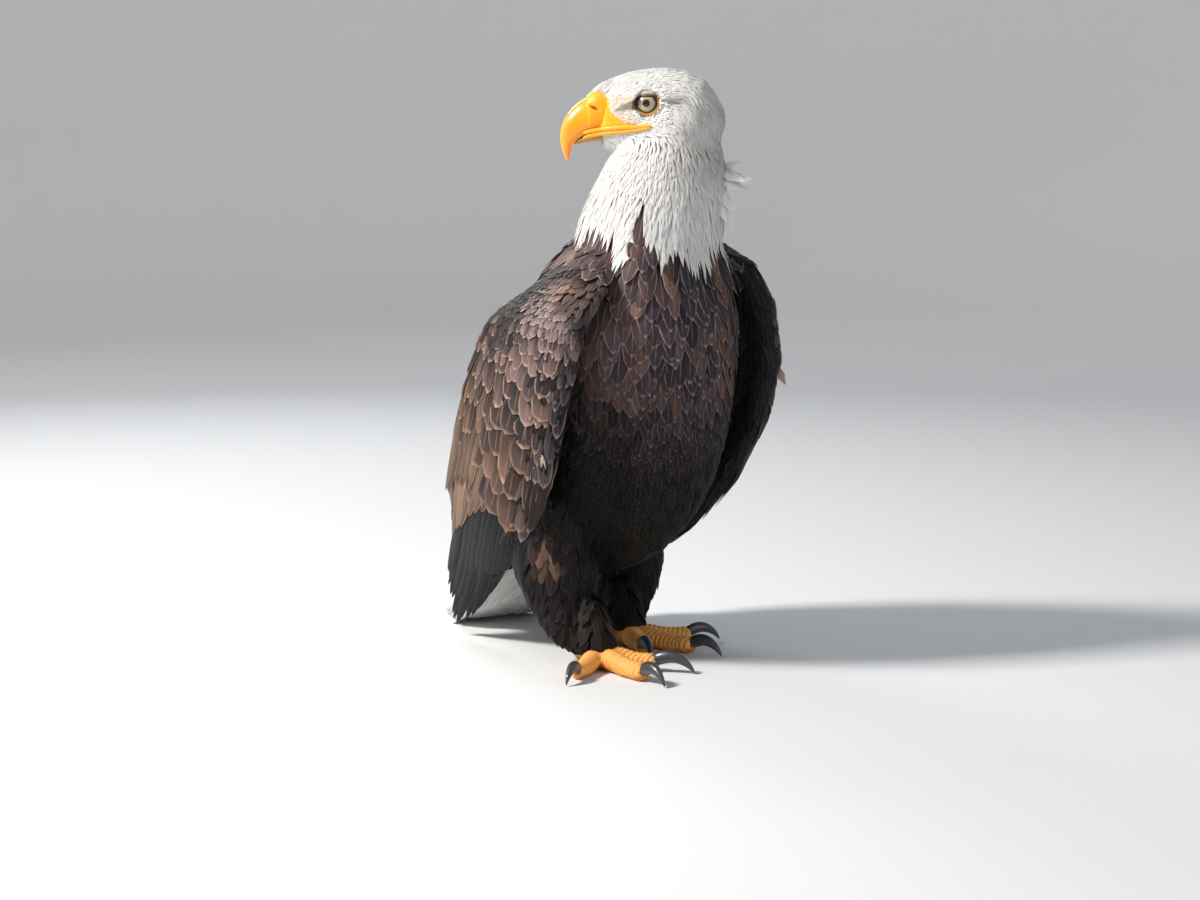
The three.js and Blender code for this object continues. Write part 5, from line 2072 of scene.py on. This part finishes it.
@dataclass
class Eyes:
    """The eyeballs, each with a ring of bare skin and lids that close over it."""

    frame: BirdFrame
    guide: Guide
    radius: float = 13.6
    apart: float = 14.9
    aim_ahead: float = 0.16  # how far each eye looks forward
    opening: float = 39.5  # degrees from the eye's axis to the lids' edge
    iris_edge: float = 34.0
    pupil_edge: float = 14.0
    # The lids' rings: how far past the opening's edge, and how far over the eyeball, in mm.
    lid_rings: tuple[tuple[float, float], ...] = (
        (-0.6, -0.35), (0.0, 0.15), (0.35, 0.55), (1.1, 0.8), (2.2, 0.5), (4.2, 0.5), (6.4, 0.3)
    )

    def axis(self, side: Side) -> Array:
        """The direction in which an eye looks, forward, left and up."""
        return unit(np.array([self.aim_ahead, float(side.value), 0.03]))

    def build(self) -> None:
        """Makes both eyes and their lids."""
        for side in Side:
            self._ball(side)
            self._lids(side)

    def _ball(self, side: Side) -> None:
        """One eyeball, with its poles on its axis and a slightly domed cornea."""
        bm = bmesh.new()
        bmesh.ops.create_uvsphere(bm, u_segments=64, v_segments=48, radius=self.radius)
        turn = Vector(self.frame.head_turn(self.axis(side))).to_track_quat("Z", "Y").to_matrix()
        centre = self.frame.from_head(np.array([0.0, side.value * self.apart, 0.0]))
        for vert in bm.verts:
            angle = math.degrees(math.acos(max(-1.0, min(1.0, vert.co.z / self.radius))))
            vert.co *= 1.0 + 0.035 * float(hump(angle, 0.0, 26.0))
            vert.co = Vector(self.frame.to_model(np.array(turn @ vert.co) + centre))
        name = f"eye_{side.label}_ball"
        mesh = mesh_of(bm, name)
        smooth_shaded(mesh)
        ball = placed(name, mesh)
        mesh.materials.append(self._finish(side, centre))
        settle(ball, "eye", f"eye_{side.label}")

    def _finish(self, side: Side, centre: Array) -> bpy.types.Material:
        """Pale straw iris, dark pupil and a black rim, under a clear wet cornea."""
        tree = Tree(f"eye_{side.label}")
        aim = tree.vectors("NORMALIZE", tree.from_point(self.frame.to_model(centre))).outputs[0]
        facing = tree.part_along(aim, unit(self.frame.head_turn(self.axis(side))))
        angle = tree.node("ShaderNodeMath", {"operation": "ARCCOSINE"}, {0: facing}).outputs[0]
        degrees = Value(tree, angle) * (180.0 / math.pi)
        streak = tree.noise(aim, 22.0, 3.0, 0.7)
        degrees = degrees + (streak - 0.5) * 0.8
        pale = tree.mix(streak, tone(150, 136, 104), tone(192, 178, 142))
        inner = degrees.step(self.pupil_edge, self.pupil_edge + 8.0)
        iris = tree.mix(inner, tone(168, 144, 92), pale)
        outer = degrees.step(self.iris_edge - 8.0, self.iris_edge)
        iris = tree.mix(outer * 0.75, iris, tone(120, 96, 48))
        iris = tree.mix(degrees.step(self.iris_edge - 1.2, self.iris_edge + 0.6), iris, tone(9, 9, 10))
        colour = tree.mix(degrees.step(self.pupil_edge - 0.8, self.pupil_edge + 0.8), tone(7, 9, 16), iris)
        tree.set(
            Base_Color=colour, Roughness=0.12, Coat_Weight=1.0, Coat_Roughness=0.02, Specular_IOR_Level=0.5
        )
        return tree.material

    def _lids(self, side: Side, segments: int = 48) -> None:
        """One ring of lids: from the eyeball's edge, over a thin rim, out under the feathers."""
        axis = self.axis(side)
        ahead = unit(np.array([1.0, 0.0, 0.0]) - axis * axis[0])
        up = np.cross(ahead, axis) * -side.value
        up = up * np.sign(up[2])
        centre = np.array([0.0, side.value * self.apart, 0.0])
        angle = 2 * np.pi * np.arange(segments) / segments
        under_brow = 1.0 - 0.52 * ramp(0.1, 0.8, np.sin(angle))
        round_ = np.outer(np.cos(angle), ahead) + np.outer(np.sin(angle), up)
        flat = self._flatness(angle)
        loft = Loft(segments)
        for widen, above in self.lid_rings:
            tilt = np.radians(self.opening) * flat + widen * (under_brow if widen > 1 else 1.0) / self.radius
            reach = self.radius + above
            points = centre + np.outer(np.cos(tilt) * reach, axis) + round_ * (np.sin(tilt) * reach)[:, None]
            if widen > 4.5:
                bird = self.frame.from_head(points)
                place, tri, _ = self.guide.near(bird)
                bird = place - self.guide.tri_normals[tri] * (0.3 if widen < 5 else 1.6)
                loft.add(bird)
            else:
                loft.add(self.frame.from_head(points))
        lids = loft.finish(f"lids_{side.label}", self.frame, None, 2)
        local = self.frame.head_local(bird_points(lids, self.frame))
        away = local - centre
        tilt = np.degrees(np.arccos(np.clip(unit(away) @ axis, -1, 1)))
        low = ramp(0.35, -0.35, unit(away)[:, 2] + 0.5 * (unit(away) @ ahead))
        around = np.arctan2(away @ up, away @ ahead)
        beyond = np.radians(tilt - self.opening * self._flatness(around)) * self.radius
        # The black margin is painted wider above, as a painted shadow line under the brow, and wider still at
        # the front corner, as a painted shadow wedge.
        painted_brow_shadow = 0.3 * ramp(0.2, 0.9, np.sin(around))
        mark_points(lids, "Rim", beyond - painted_brow_shadow - 1.2 * ramp(0.75, 1.0, np.cos(around)))
        mark_points(lids, "Low", low)
        lids.data.materials.append(self._lid_finish())
        settle(lids, "eye")

    @staticmethod
    def _flatness(angle: Array) -> Array:
        """The lids' opening at each angle round the eye, as a share of its half width: flat above."""
        below = 1.0 - 0.11 * ramp(0.1, 1.0, -np.sin(angle)) + 0.05 * ramp(0.8, 1.0, np.cos(angle))
        above = (0.58 - 0.05 * np.cos(angle)) / np.maximum(np.sin(angle), 0.05)
        return np.where(np.sin(angle) > 0, np.minimum(below, above), below)

    @staticmethod
    def _lid_finish() -> bpy.types.Material:
        """Blackish lid margin, then a yellow ring below and behind and a dark brown ring above and in front
        as painted shade under the brow, then pale skin.
        """
        tree = Tree("lids")
        rim, low = tree.mark("Rim"), tree.mark("Low")
        wrinkle = tree.noise(tree.place(), 1600.0, 3.0)
        skin = tree.mix(wrinkle, tone(196, 172, 140), tone(226, 208, 180))
        # Above and in front the ring is painted dark brown, as painted shade under the brow.
        ring = tree.mix(low, tone(96, 78, 60), tone(232, 166, 50))
        skin = tree.mix(low, tone(186, 178, 170), skin)
        colour = tree.mix(rim.step(2.4, 3.2), ring, skin)
        colour = tree.mix(rim.step(0.6, 1.1), tone(16, 13, 12), colour)
        return tree.finish(colour, 0.35 + 0.3 * wrinkle, wrinkle, 0.0004, 0.6, Specular_IOR_Level=0.45)


@dataclass
class Bill:
    """The hooked upper bill, the lower bill, the cere with its nostrils, and the yellow gape."""

    frame: BirdFrame
    guide: Guide
    # Forward and up of the ridge, forward and up of the cutting edge, half width.
    hook: tuple[tuple[float, float, float, float, float], ...] = (
        (32, 15.0, 28, -24.0, 13.0), (46, 11.0, 43, -25.5, 13.2), (54.5, 6.4, 51.0, -26.6, 12.8),
        (64.3, 1.2, 58.4, -29.4, 11.6), (72.8, -8.0, 63.6, -32.6, 9.8), (78.0, -18.0, 66.8, -35.4, 7.6),
        (79.8, -27.5, 68.6, -38.4, 5.6), (79.0, -36.5, 69.9, -42.0, 4.1), (77.0, -44.0, 70.8, -46.4, 2.7),
        (74.4, -49.6, 71.0, -50.2, 1.4), (72.3, -52.6, 71.3, -52.6, 0.5),
    )
    swelling: tuple[tuple[float, float, float, float, float], ...] = (
        (20, 22.0, 18, -22.0, 17.5), (30, 19.4, 27, -24.0, 16.2), (38, 17.8, 35, -25.2, 15.2),
        (46, 14.6, 43, -26.4, 14.5), (52.5, 10.0, 49.0, -27.4, 13.9), (55.6, 7.0, 52.4, -28.0, 13.3),
        (56.4, 5.4, 53.2, -27.4, 12.5), (55.4, 4.6, 52.4, -26.4, 11.6),
    )
    swelling_cut: tuple[float, float] = (0.8, 0.45)  # how square its sections are and where they are widest
    jaw: tuple[tuple[float, float, float, float, float], ...] = (
        (8, -23.0, 6, -31.0, 13.6), (22, -24.0, 21, -32.4, 12.6), (38, -25.5, 37, -33.2, 11.4),
        (52, -27.2, 51, -33.8, 9.8), (62, -30.0, 60.5, -35.4, 7.4), (67.0, -32.6, 66.0, -36.4, 4.8),
        (69.2, -34.6, 68.8, -36.4, 2.0),
    )
    mouth: tuple[tuple[float, float], ...] = (
        (60.0, -28.6), (50.0, -26.2), (38.4, -24.4), (26.0, -23.2), (14.4, -22.4), (4.0, -21.4),
        (-3.4, -20.4),
    )
    # Half the mouth's width at some places forward of the eyes.
    mouth_widths: tuple[tuple[float, ...], ...] = (
        (14.0, 36.0, 46.0, 56.0, 62.0), (14.0, 14.4, 13.9, 12.6, 11.2)
    )
    nostril: tuple[float, float] = (48.6, -3.6)
    nostril_lean: float = 0.50  # radians up towards the front
    nostril_size: tuple[float, float] = (4.4, 1.25)
    segments: int = 32

    def build(self) -> None:
        """Makes the four parts of the bill."""
        horn = self._horn()
        self._part("bill_upper_horn", self.hook, horn, "bill", 0.85, 0.40, "bill_upper")
        self._part("bill_lower_horn", self.jaw, self._jaw_finish(), "bill", 0.75, 0.5, "bill_lower")
        self._cere()
        self._gape()

    def _loft(self, rows: Sequence[Sequence[float]], square: float, belly: float) -> Loft:
        """A loft through sections given by their ridge, edge and half width."""
        loft = Loft(self.segments)
        for ridge_x, ridge_z, edge_x, edge_z, wide in rows:
            foot, head = np.array([edge_x, 0.0, edge_z]), np.array([ridge_x, 0.0, ridge_z])
            ring = rounded_section(foot, head, wide, np.array([0.0, 1.0, 0.0]), self.segments, square, belly)
            loft.add(self.frame.from_head(ring))
        loft.close()
        return loft

    def _part(
        self, name: str, rows: Sequence[Sequence[float]], material: bpy.types.Material, slot: str,
        square: float, belly: float, node: str,
    ) -> None:
        """One horny part of the bill."""
        piece = self._loft(rows, square, belly).finish(name, self.frame, material, 2)
        settle(piece, slot, node)

    def _reach(self, tree: Tree) -> Value:
        """How far forward of the eyes a point lies, in mm."""
        away = tree.from_point(self.frame.to_model(self.frame.head_at))
        return tree.part_along(away, self.frame.ahead) * 1000.0

    def _horn(self) -> bpy.types.Material:
        """Glossy orange horn, paler at the hook and along the front, with faint growth lines."""
        tree = Tree("bill_horn")
        reach = self._reach(tree)
        grain = tree.noise(tree.place((1.0, 1.0, 0.35)), 420.0, 4.0, 0.6)
        cloud = tree.noise(tree.place(), 70.0, 2.0)
        colour = tree.mix(reach.step(54.0, 72.0) * 0.8, tone(250, 164, 12), tone(250, 140, 6))
        colour = tree.mix((reach + 8.0 * (cloud - 0.5)).step(71.0, 80.5) * 0.55, colour, tone(252, 186, 92))
        colour = tree.mix((grain - 0.45).held() * 0.7, colour, tone(214, 112, 10))
        return tree.finish(
            colour, 0.24 + 0.18 * grain, grain, 0.00025, 0.5, Coat_Weight=0.25, Coat_Roughness=0.15,
            Subsurface_Weight=0.06, Subsurface_Scale=0.004,
        )

    def _jaw_finish(self) -> bpy.types.Material:
        """Yellow horn of the lower bill, painted olive and darker than the upper bill as painted shade under
        it.
        """
        tree = Tree("jaw_horn")
        grain = tree.noise(tree.place((1.0, 1.0, 0.4)), 380.0, 4.0, 0.6)
        # Olive-brown tones: painted shade under the upper bill.
        colour = tree.mix(grain, tone(186, 140, 60), tone(150, 106, 40))
        return tree.finish(
            colour, 0.3 + 0.2 * grain, grain, 0.00025, 0.5, Coat_Weight=0.2, Coat_Roughness=0.2
        )

    def _cere(self) -> None:
        """The soft swelling at the bill's base, with a nostril let into each side."""
        cere = self._loft(self.swelling, *self.swelling_cut).finish("cere_skin", self.frame, None, 2)
        points = bird_points(cere, self.frame)
        normals = point_normals(cere)
        local = self.frame.head_local(points)
        x, z = local[:, 0] - self.nostril[0], local[:, 2] - self.nostril[1]
        cos, sin = math.cos(self.nostril_lean), math.sin(self.nostril_lean)
        along, across = x * cos + z * sin, z * cos - x * sin
        away = (along / self.nostril_size[0]) ** 2 + (across / self.nostril_size[1]) ** 2
        pit = np.exp(-away) * (np.abs(local[:, 1]) > 5)
        lip = 0.5 * hump(np.sqrt(away), 1.9, 0.6) * (np.abs(local[:, 1]) > 5)
        bump = 0.9 * mound(local[:, 0], local[:, 2], (47.0, 3.0), (7.0, 9.0))
        move_points(cere, self.frame, points + normals * (lip + bump - 2.3 * pit)[:, None])
        mark_points(cere, "Pit", pit)
        tree = Tree("cere_skin")
        pit_mask = tree.mark("Pit")
        reach = self._reach(tree)
        grain = tree.noise(tree.place(), 520.0, 4.0, 0.6)
        colour = tree.mix(grain, tone(248, 178, 14), tone(232, 152, 8))
        colour = tree.mix(reach.step(30.0, 20.0) * 0.5, colour, tone(240, 200, 120))
        colour = tree.mix(pit_mask.step(0.12, 0.45) * 0.8, colour, tone(206, 74, 10))
        # The pit's deep middle is painted near black-red: painted shade inside the nostril.
        colour = tree.mix(pit_mask.step(0.5, 0.85), colour, tone(96, 22, 6))
        finish = tree.finish(
            colour, 0.36 + 0.2 * grain, grain, 0.0004, 0.5, Subsurface_Weight=0.08, Subsurface_Scale=0.004,
            Specular_IOR_Level=0.45,
        )
        cere.data.materials.append(finish)
        settle(cere, "cere", "cere")

    def _side_of_head(self, points: Array, side: Side) -> Array:
        """Points of the mouth line moved out to the bill's or the cheek's surface."""
        out = []
        for x, z in points:
            start = self.frame.from_head(np.array([x, side.value * 70.0, z]))
            aim = -side.value * self.frame.leftward
            hit = self.guide.tree.ray_cast(start.tolist(), aim.tolist(), 70.0)[0]
            cheek = abs(self.frame.head_local(np.array(hit))[1]) if hit is not None else 0.0
            bill = float(np.interp(x, *self.mouth_widths))
            out.append([x, side.value * max(cheek, bill), z])
        return self.frame.from_head(np.array(out))

    def _gape(self) -> None:
        """The double yellow ridge along the mouth to its corner under the eye."""
        whole: Loft | None = None
        for side in Side:
            line = np.array(self.mouth, float)
            smooth = between(np.linspace(0, len(line) - 1, 22), np.arange(len(line)), line)
            for over, size in ((2.0, 2.5), (-2.0, 2.1)):
                share = np.linspace(0, 1, len(smooth))
                path = smooth + np.stack([0 * share, over * (1 - 0.75 * share**3)], axis=-1)
                spine = evened(self._side_of_head(path, side))
                loft = Loft(12)
                heading = unit(np.gradient(spine, axis=0))
                out = side.value * self.frame.leftward
                girth = size * np.interp(share, [0, 0.1, 0.5, 0.9, 1.0], [0.35, 0.85, 1.0, 0.75, 0.25])
                for at, aim, radius in zip(spine, heading, girth):
                    rise = unit(np.cross(aim, out))
                    angle = 2 * np.pi * np.arange(12) / 12
                    ring = np.outer(np.cos(angle) * radius * 0.8, unit(out - aim * (out @ aim)))
                    loft.add(at + ring + np.outer(np.sin(angle) * radius, rise))
                loft.close()
                if whole is None:
                    whole = loft
                else:
                    whole.join(loft)
        tree = Tree("gape")
        grain = tree.noise(tree.place(), 700.0, 3.0)
        finish = tree.finish(
            tree.mix(grain, tone(248, 182, 44), tone(228, 146, 24)), 0.34 + 0.2 * grain, grain, 0.0003, 0.5,
            Subsurface_Weight=0.08, Subsurface_Scale=0.003,
        )
        assert whole is not None
        settle(whole.finish("gape", self.frame, finish, 1), "cere")


@dataclass(frozen=True)
class Toe:
    """One toe: its bearing from straight ahead, outwards positive, its length, girth and claw."""

    name: str
    bearing: float
    long: float
    base: float
    tip: float
    claw: float


TOES = (
    Toe("hind", -168, 40, 10, 9, 37),
    Toe("inner", -38, 51, 9.8, 8.4, 35),
    Toe("middle", 0, 73, 9.6, 8.2, 31),
    Toe("outer", 50, 56, 9, 7.6, 28),
)


@dataclass
class Foot:
    """One foot: four scaly toes on a broad palm, and their claws."""

    frame: BirdFrame
    side: Side
    at: tuple[float, float]
    turn: float = 0.0
    voxel: float = 1.15
    grow: float = 0.35
    scute: float = 4.7  # the length of a plate on a toe's top
    plate_rise: float = 0.65
    groove_depth: float = 0.9
    pad_rise: float = 0.9
    sole: float = 1.2  # what lies lower is flat on the floor

    def heading(self, toe: Toe) -> Array:
        """The level direction of a toe."""
        angle = math.radians(toe.bearing + self.turn)
        return np.array([self.side.value * math.sin(angle), -math.cos(angle), 0.0])

    def palm(self) -> Array:
        """The palm's middle on the floor."""
        return np.array([self.side.value * self.at[0], self.at[1], 0.0])

    def build(self, nodes: dict[str, bpy.types.Object]) -> None:
        """Makes the scaly foot and its claws."""
        self._skin(nodes)
        self._claws()

    def _skin(self, nodes: dict[str, bpy.types.Object]) -> None:
        """The toes and palm as one smooth skin with scutes across the toes' tops."""
        names = [f"ankle_{self.side.label}"] + [f"toe_{toe.name}_{self.side.label}" for toe in TOES]
        ob = fused(f"foot_{self.side.label}", nodes, dict.fromkeys(names, self.grow))
        remesh = ob.modifiers.new("remesh", "REMESH")
        remesh.mode, remesh.voxel_size = "VOXEL", self.voxel * MM
        smooth = ob.modifiers.new("smooth", "CORRECTIVE_SMOOTH")
        smooth.factor, smooth.iterations = 0.8, 14
        smooth.use_only_smooth, smooth.smooth_type = True, "SIMPLE"
        made = evaluated(ob)
        ob.modifiers.clear()
        ob.data = made
        made.name = ob.name
        smooth_shaded(made)
        made.update()
        self._scutes(ob)
        ob.data.materials.append(self._finish())
        settle(ob, "foot_skin", *names)

    def _scutes(self, ob: bpy.types.Object) -> None:
        """Raises broad plates across each toe's top, with grooves between, and pads below."""
        points, normals = bird_points(ob, self.frame), point_normals(ob)
        away = points - self.palm()
        best = np.full(len(points), 1e9)
        along, aside, share = np.zeros(len(points)), np.zeros(len(points)), np.zeros(len(points))
        for index, toe in enumerate(TOES):
            heading = self.heading(toe)
            reach = away @ heading
            off = away @ np.array([-heading[1], heading[0], 0.0])
            distance = np.abs(off) + 3.0 * np.maximum(-reach, 0)
            closer = distance < best
            best = np.where(closer, distance, best)
            along = np.where(closer, reach + 40.0 * index, along)
            aside = np.where(closer, off, aside)
            share = np.where(closer, reach / (toe.long + 8.0), share)
        up = np.clip(normals[:, 2], -1, 1)
        on_toe = ramp(0.12, 0.30, share)
        top = ramp(-0.7, -0.1, up) * on_toe
        phase = along / self.scute + 0.010 * aside**2
        groove = np.abs(np.abs(phase % 1.0 - 0.5) * 2.0)
        groove = ramp(0.72, 0.99, groove) * top
        plate = self.plate_rise * top * np.sin(np.pi * (phase % 1.0))
        pads = self.pad_rise * np.clip(-up, 0, 1) * np.sin(along / 9.0) ** 2 * on_toe
        sole = points[:, 2] < self.sole
        move = np.where(sole, 0.0, plate - self.groove_depth * groove + pads)
        moved = points + normals * move[:, None]
        moved[:, 2] = np.maximum(moved[:, 2], 0.0)
        move_points(ob, self.frame, moved)
        mark_points(ob, "Groove", groove)
        mark_points(ob, "Top", top)

    @staticmethod
    def _finish() -> bpy.types.Material:
        """Yellow-orange scaly skin: plates above with a painted highlight on their tops, small round scales
        at the sides.
        """
        found = bpy.data.materials.get("scaly_foot")
        if found is not None:
            return found
        tree = Tree("scaly_foot")
        groove, top = tree.mark("Groove"), tree.mark("Top")
        scale = tree.cell_edges(tree.place(), 520.0).step(0.0, 0.16)
        cloud = tree.noise(tree.place(), 110.0, 3.0)
        colour = tree.mix(cloud, tone(248, 168, 62), tone(236, 142, 36))
        colour = tree.mix((1.0 - scale) * (1.0 - top * 0.75) * 0.6, colour, tone(150, 74, 12))
        colour = tree.mix(groove * 0.85, colour, tone(138, 66, 12))
        # The plates' tops are painted paler: a painted highlight.
        colour = tree.mix(top * (1.0 - groove) * 0.4, colour, tone(254, 206, 128))
        return tree.finish(
            colour, 0.42 + 0.25 * cloud, scale * (1.0 - top * 0.6) + cloud * 0.3, 0.0006, 0.8,
            Subsurface_Weight=0.05, Subsurface_Scale=0.003, Specular_IOR_Level=0.45,
        )

    def _claws(self) -> None:
        """The four black, curved, tapering claws."""
        for toe in TOES:
            heading = self.heading(toe)
            aside = np.array([-heading[1], heading[0], 0.0])
            start = 8.0 + toe.long
            keys = np.array(
                [
                    [start - 7.0, toe.tip + 1.0, 0.76 * toe.tip],
                    [start + 0.08 * toe.claw, toe.tip + 5.0, 0.86 * toe.tip],
                    [start + 0.34 * toe.claw, toe.tip + 6.6, 0.76 * toe.tip],
                    [start + 0.60 * toe.claw, toe.tip + 4.4, 0.60 * toe.tip],
                    [start + 0.81 * toe.claw, 8.0, 0.38 * toe.tip],
                    [start + 0.94 * toe.claw, 3.4, 0.19 * toe.tip],
                    [start + 0.98 * toe.claw, 0.8, 0.04 * toe.tip],
                ]
            )
            rows = evened(between(np.linspace(0, len(keys) - 1, 16), np.arange(len(keys)), keys))
            spine = self.palm() + rows[:, :1] * heading + rows[:, 1:2] * np.array([0.0, 0.0, 1.0])
            tangent = unit(np.gradient(spine, axis=0))
            loft = Loft(16)
            angle = 2 * np.pi * np.arange(16) / 16
            for at, aim, radius in zip(spine, tangent, rows[:, 2]):
                over = np.cross(aim, aside)
                wide = np.cos(angle) * radius * 0.82
                tall = np.where(np.sin(angle) > 0, 1.0, 0.82) * np.sin(angle) * radius
                loft.add(at + np.outer(wide, aside) + np.outer(tall, unit(over)))
            loft.close()
            claw = loft.finish(f"talon_{toe.name}_{self.side.label}", self.frame, self._claw_finish(), 2)
            settle(claw, "claw", f"claw_{toe.name}_{self.side.label}")

    @staticmethod
    def _claw_finish() -> bpy.types.Material:
        """Glossy black horn with faint long streaks."""
        found = bpy.data.materials.get("claw_horn")
        if found is not None:
            return found
        tree = Tree("claw_horn")
        streak = tree.noise(tree.place((1.0, 1.0, 2.4)), 260.0, 4.0, 0.65)
        colour = tree.mix(streak, tone(20, 22, 26), tone(74, 78, 84))
        return tree.finish(
            colour, 0.26 + 0.25 * streak, streak, 0.0003, 0.5, Coat_Weight=0.5, Coat_Roughness=0.10
        )


# ------------------------------------------------------------------------------------------- the studio


@dataclass(frozen=True)
class Studio:
    """A plain pale floor and backdrop, soft light from the upper left, and the camera."""

    azimuth: float = -32.0
    elevation: float = 6.8
    distance: float = 2.6
    lens: float = 83.0
    light_reach: float = 1.3  # how far off the lights stand, against their places below
    sky: tuple[float, float, float, float] = (0.80, 0.86, 0.95, 1.0)
    sky_strength: float = 0.30
    aim: tuple[float, float, float] = (-1.5, 27.9, 191.6)  # bird mm

    def build(self, frame: BirdFrame) -> None:
        """Makes the floor, lights and camera."""
        self._backdrop()
        target = Vector(frame.to_model(np.array(self.aim)))
        turn, rise = math.radians(self.azimuth), math.radians(self.elevation)
        ahead = Vector((-math.sin(turn) * math.cos(rise), math.cos(turn) * math.cos(rise), -math.sin(rise)))
        right = ahead.cross(Vector((0, 0, 1))).normalized()
        up = right.cross(ahead)
        data = bpy.data.cameras.new("camera")
        data.lens, data.sensor_width = self.lens, 36.0
        camera = placed("camera", data)
        camera.location = target - ahead * self.distance
        camera.rotation_euler = ahead.to_track_quat("-Z", "Y").to_euler()
        bpy.context.scene.camera = camera
        for name, at, size, power, colour in (
            ("key", -right * 1.28 + up * 1.08 - ahead * 0.62, 0.40, 82.0, (1.0, 0.96, 0.90)),
            ("fill", right * 0.90 + up * 0.35 - ahead * 1.50, 1.60, 7.5, (0.88, 0.93, 1.0)),
            ("rim", -right * 0.70 + up * 1.20 + ahead * 1.30, 0.80, 18.0, (0.95, 0.97, 1.0)),
        ):
            self._light(name, target + at * self.light_reach, target, size, power, colour)
        world = bpy.data.worlds.new("world")
        world.use_nodes = True
        background = world.node_tree.nodes["Background"]
        background.inputs["Color"].default_value = self.sky
        background.inputs["Strength"].default_value = self.sky_strength
        bpy.context.scene.world = world
        bpy.context.scene.view_settings.view_transform = "Standard"

    @staticmethod
    def _light(name: str, at: Vector, target: Vector, size: float, power: float, colour: Tone) -> None:
        """One square area light."""
        data = bpy.data.lights.new(name, "AREA")
        data.size, data.energy, data.color = size, power, colour
        lamp = placed(name, data)
        lamp.location = at
        lamp.rotation_euler = (target - at).to_track_quat("-Z", "Y").to_euler()

    @staticmethod
    def _backdrop() -> None:
        """A floor that curves up behind, all round, so that every view has a plain ground."""
        bm = bmesh.new()
        rings = [(0.01, 0.0), (2.6, 0.0), (3.2, 0.10), (3.6, 0.45), (3.8, 1.1), (3.9, 4.2)]
        bmesh.ops.create_circle(bm, cap_ends=True, segments=96, radius=rings[0][0])
        loop = list(bm.edges)
        for radius, height in rings[1:]:
            made = bmesh.ops.extrude_edge_only(bm, edges=loop)["geom"]
            loop = [g for g in made if isinstance(g, bmesh.types.BMEdge)]
            for vert in {v for e in loop for v in e.verts}:
                flat = Vector((vert.co.x, vert.co.y)).normalized() * radius
                vert.co = (flat.x, flat.y, height)
        bmesh.ops.recalc_face_normals(bm, faces=bm.faces)
        mesh = mesh_of(bm, "backdrop")
        smooth_shaded(mesh)
        backdrop = placed("backdrop", mesh)
        tree = Tree("backdrop")
        tree.set(Base_Color=(0.72, 0.73, 0.74), Roughness=0.9)
        mesh.materials.append(tree.material)


def main() -> None:
    """Builds the eagle and its studio."""
    logging.basicConfig(level=logging.INFO, format="%(message)s", stream=sys.stdout)
    frame_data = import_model()
    frame = BirdFrame.from_eyes()
    guide = Guide(frame, frame_data["nodes"])
    guide.build()
    LOG.info("guide: %d points", len(guide.points))
    markings = Markings(frame)
    skin = Skin(guide, markings)
    skin.build()
    Coat(guide, markings, FeatherLoom(guide, skin.triangle_map)).build()
    Eyes(frame, guide).build()
    Bill(frame, guide).build()
    Foot(frame, Side.RIGHT, (46, -40)).build(frame_data["nodes"])
    Foot(frame, Side.LEFT, (38, 42), 20.0).build(frame_data["nodes"])
    Studio().build(frame)


if __name__ == "__main__":
    main()
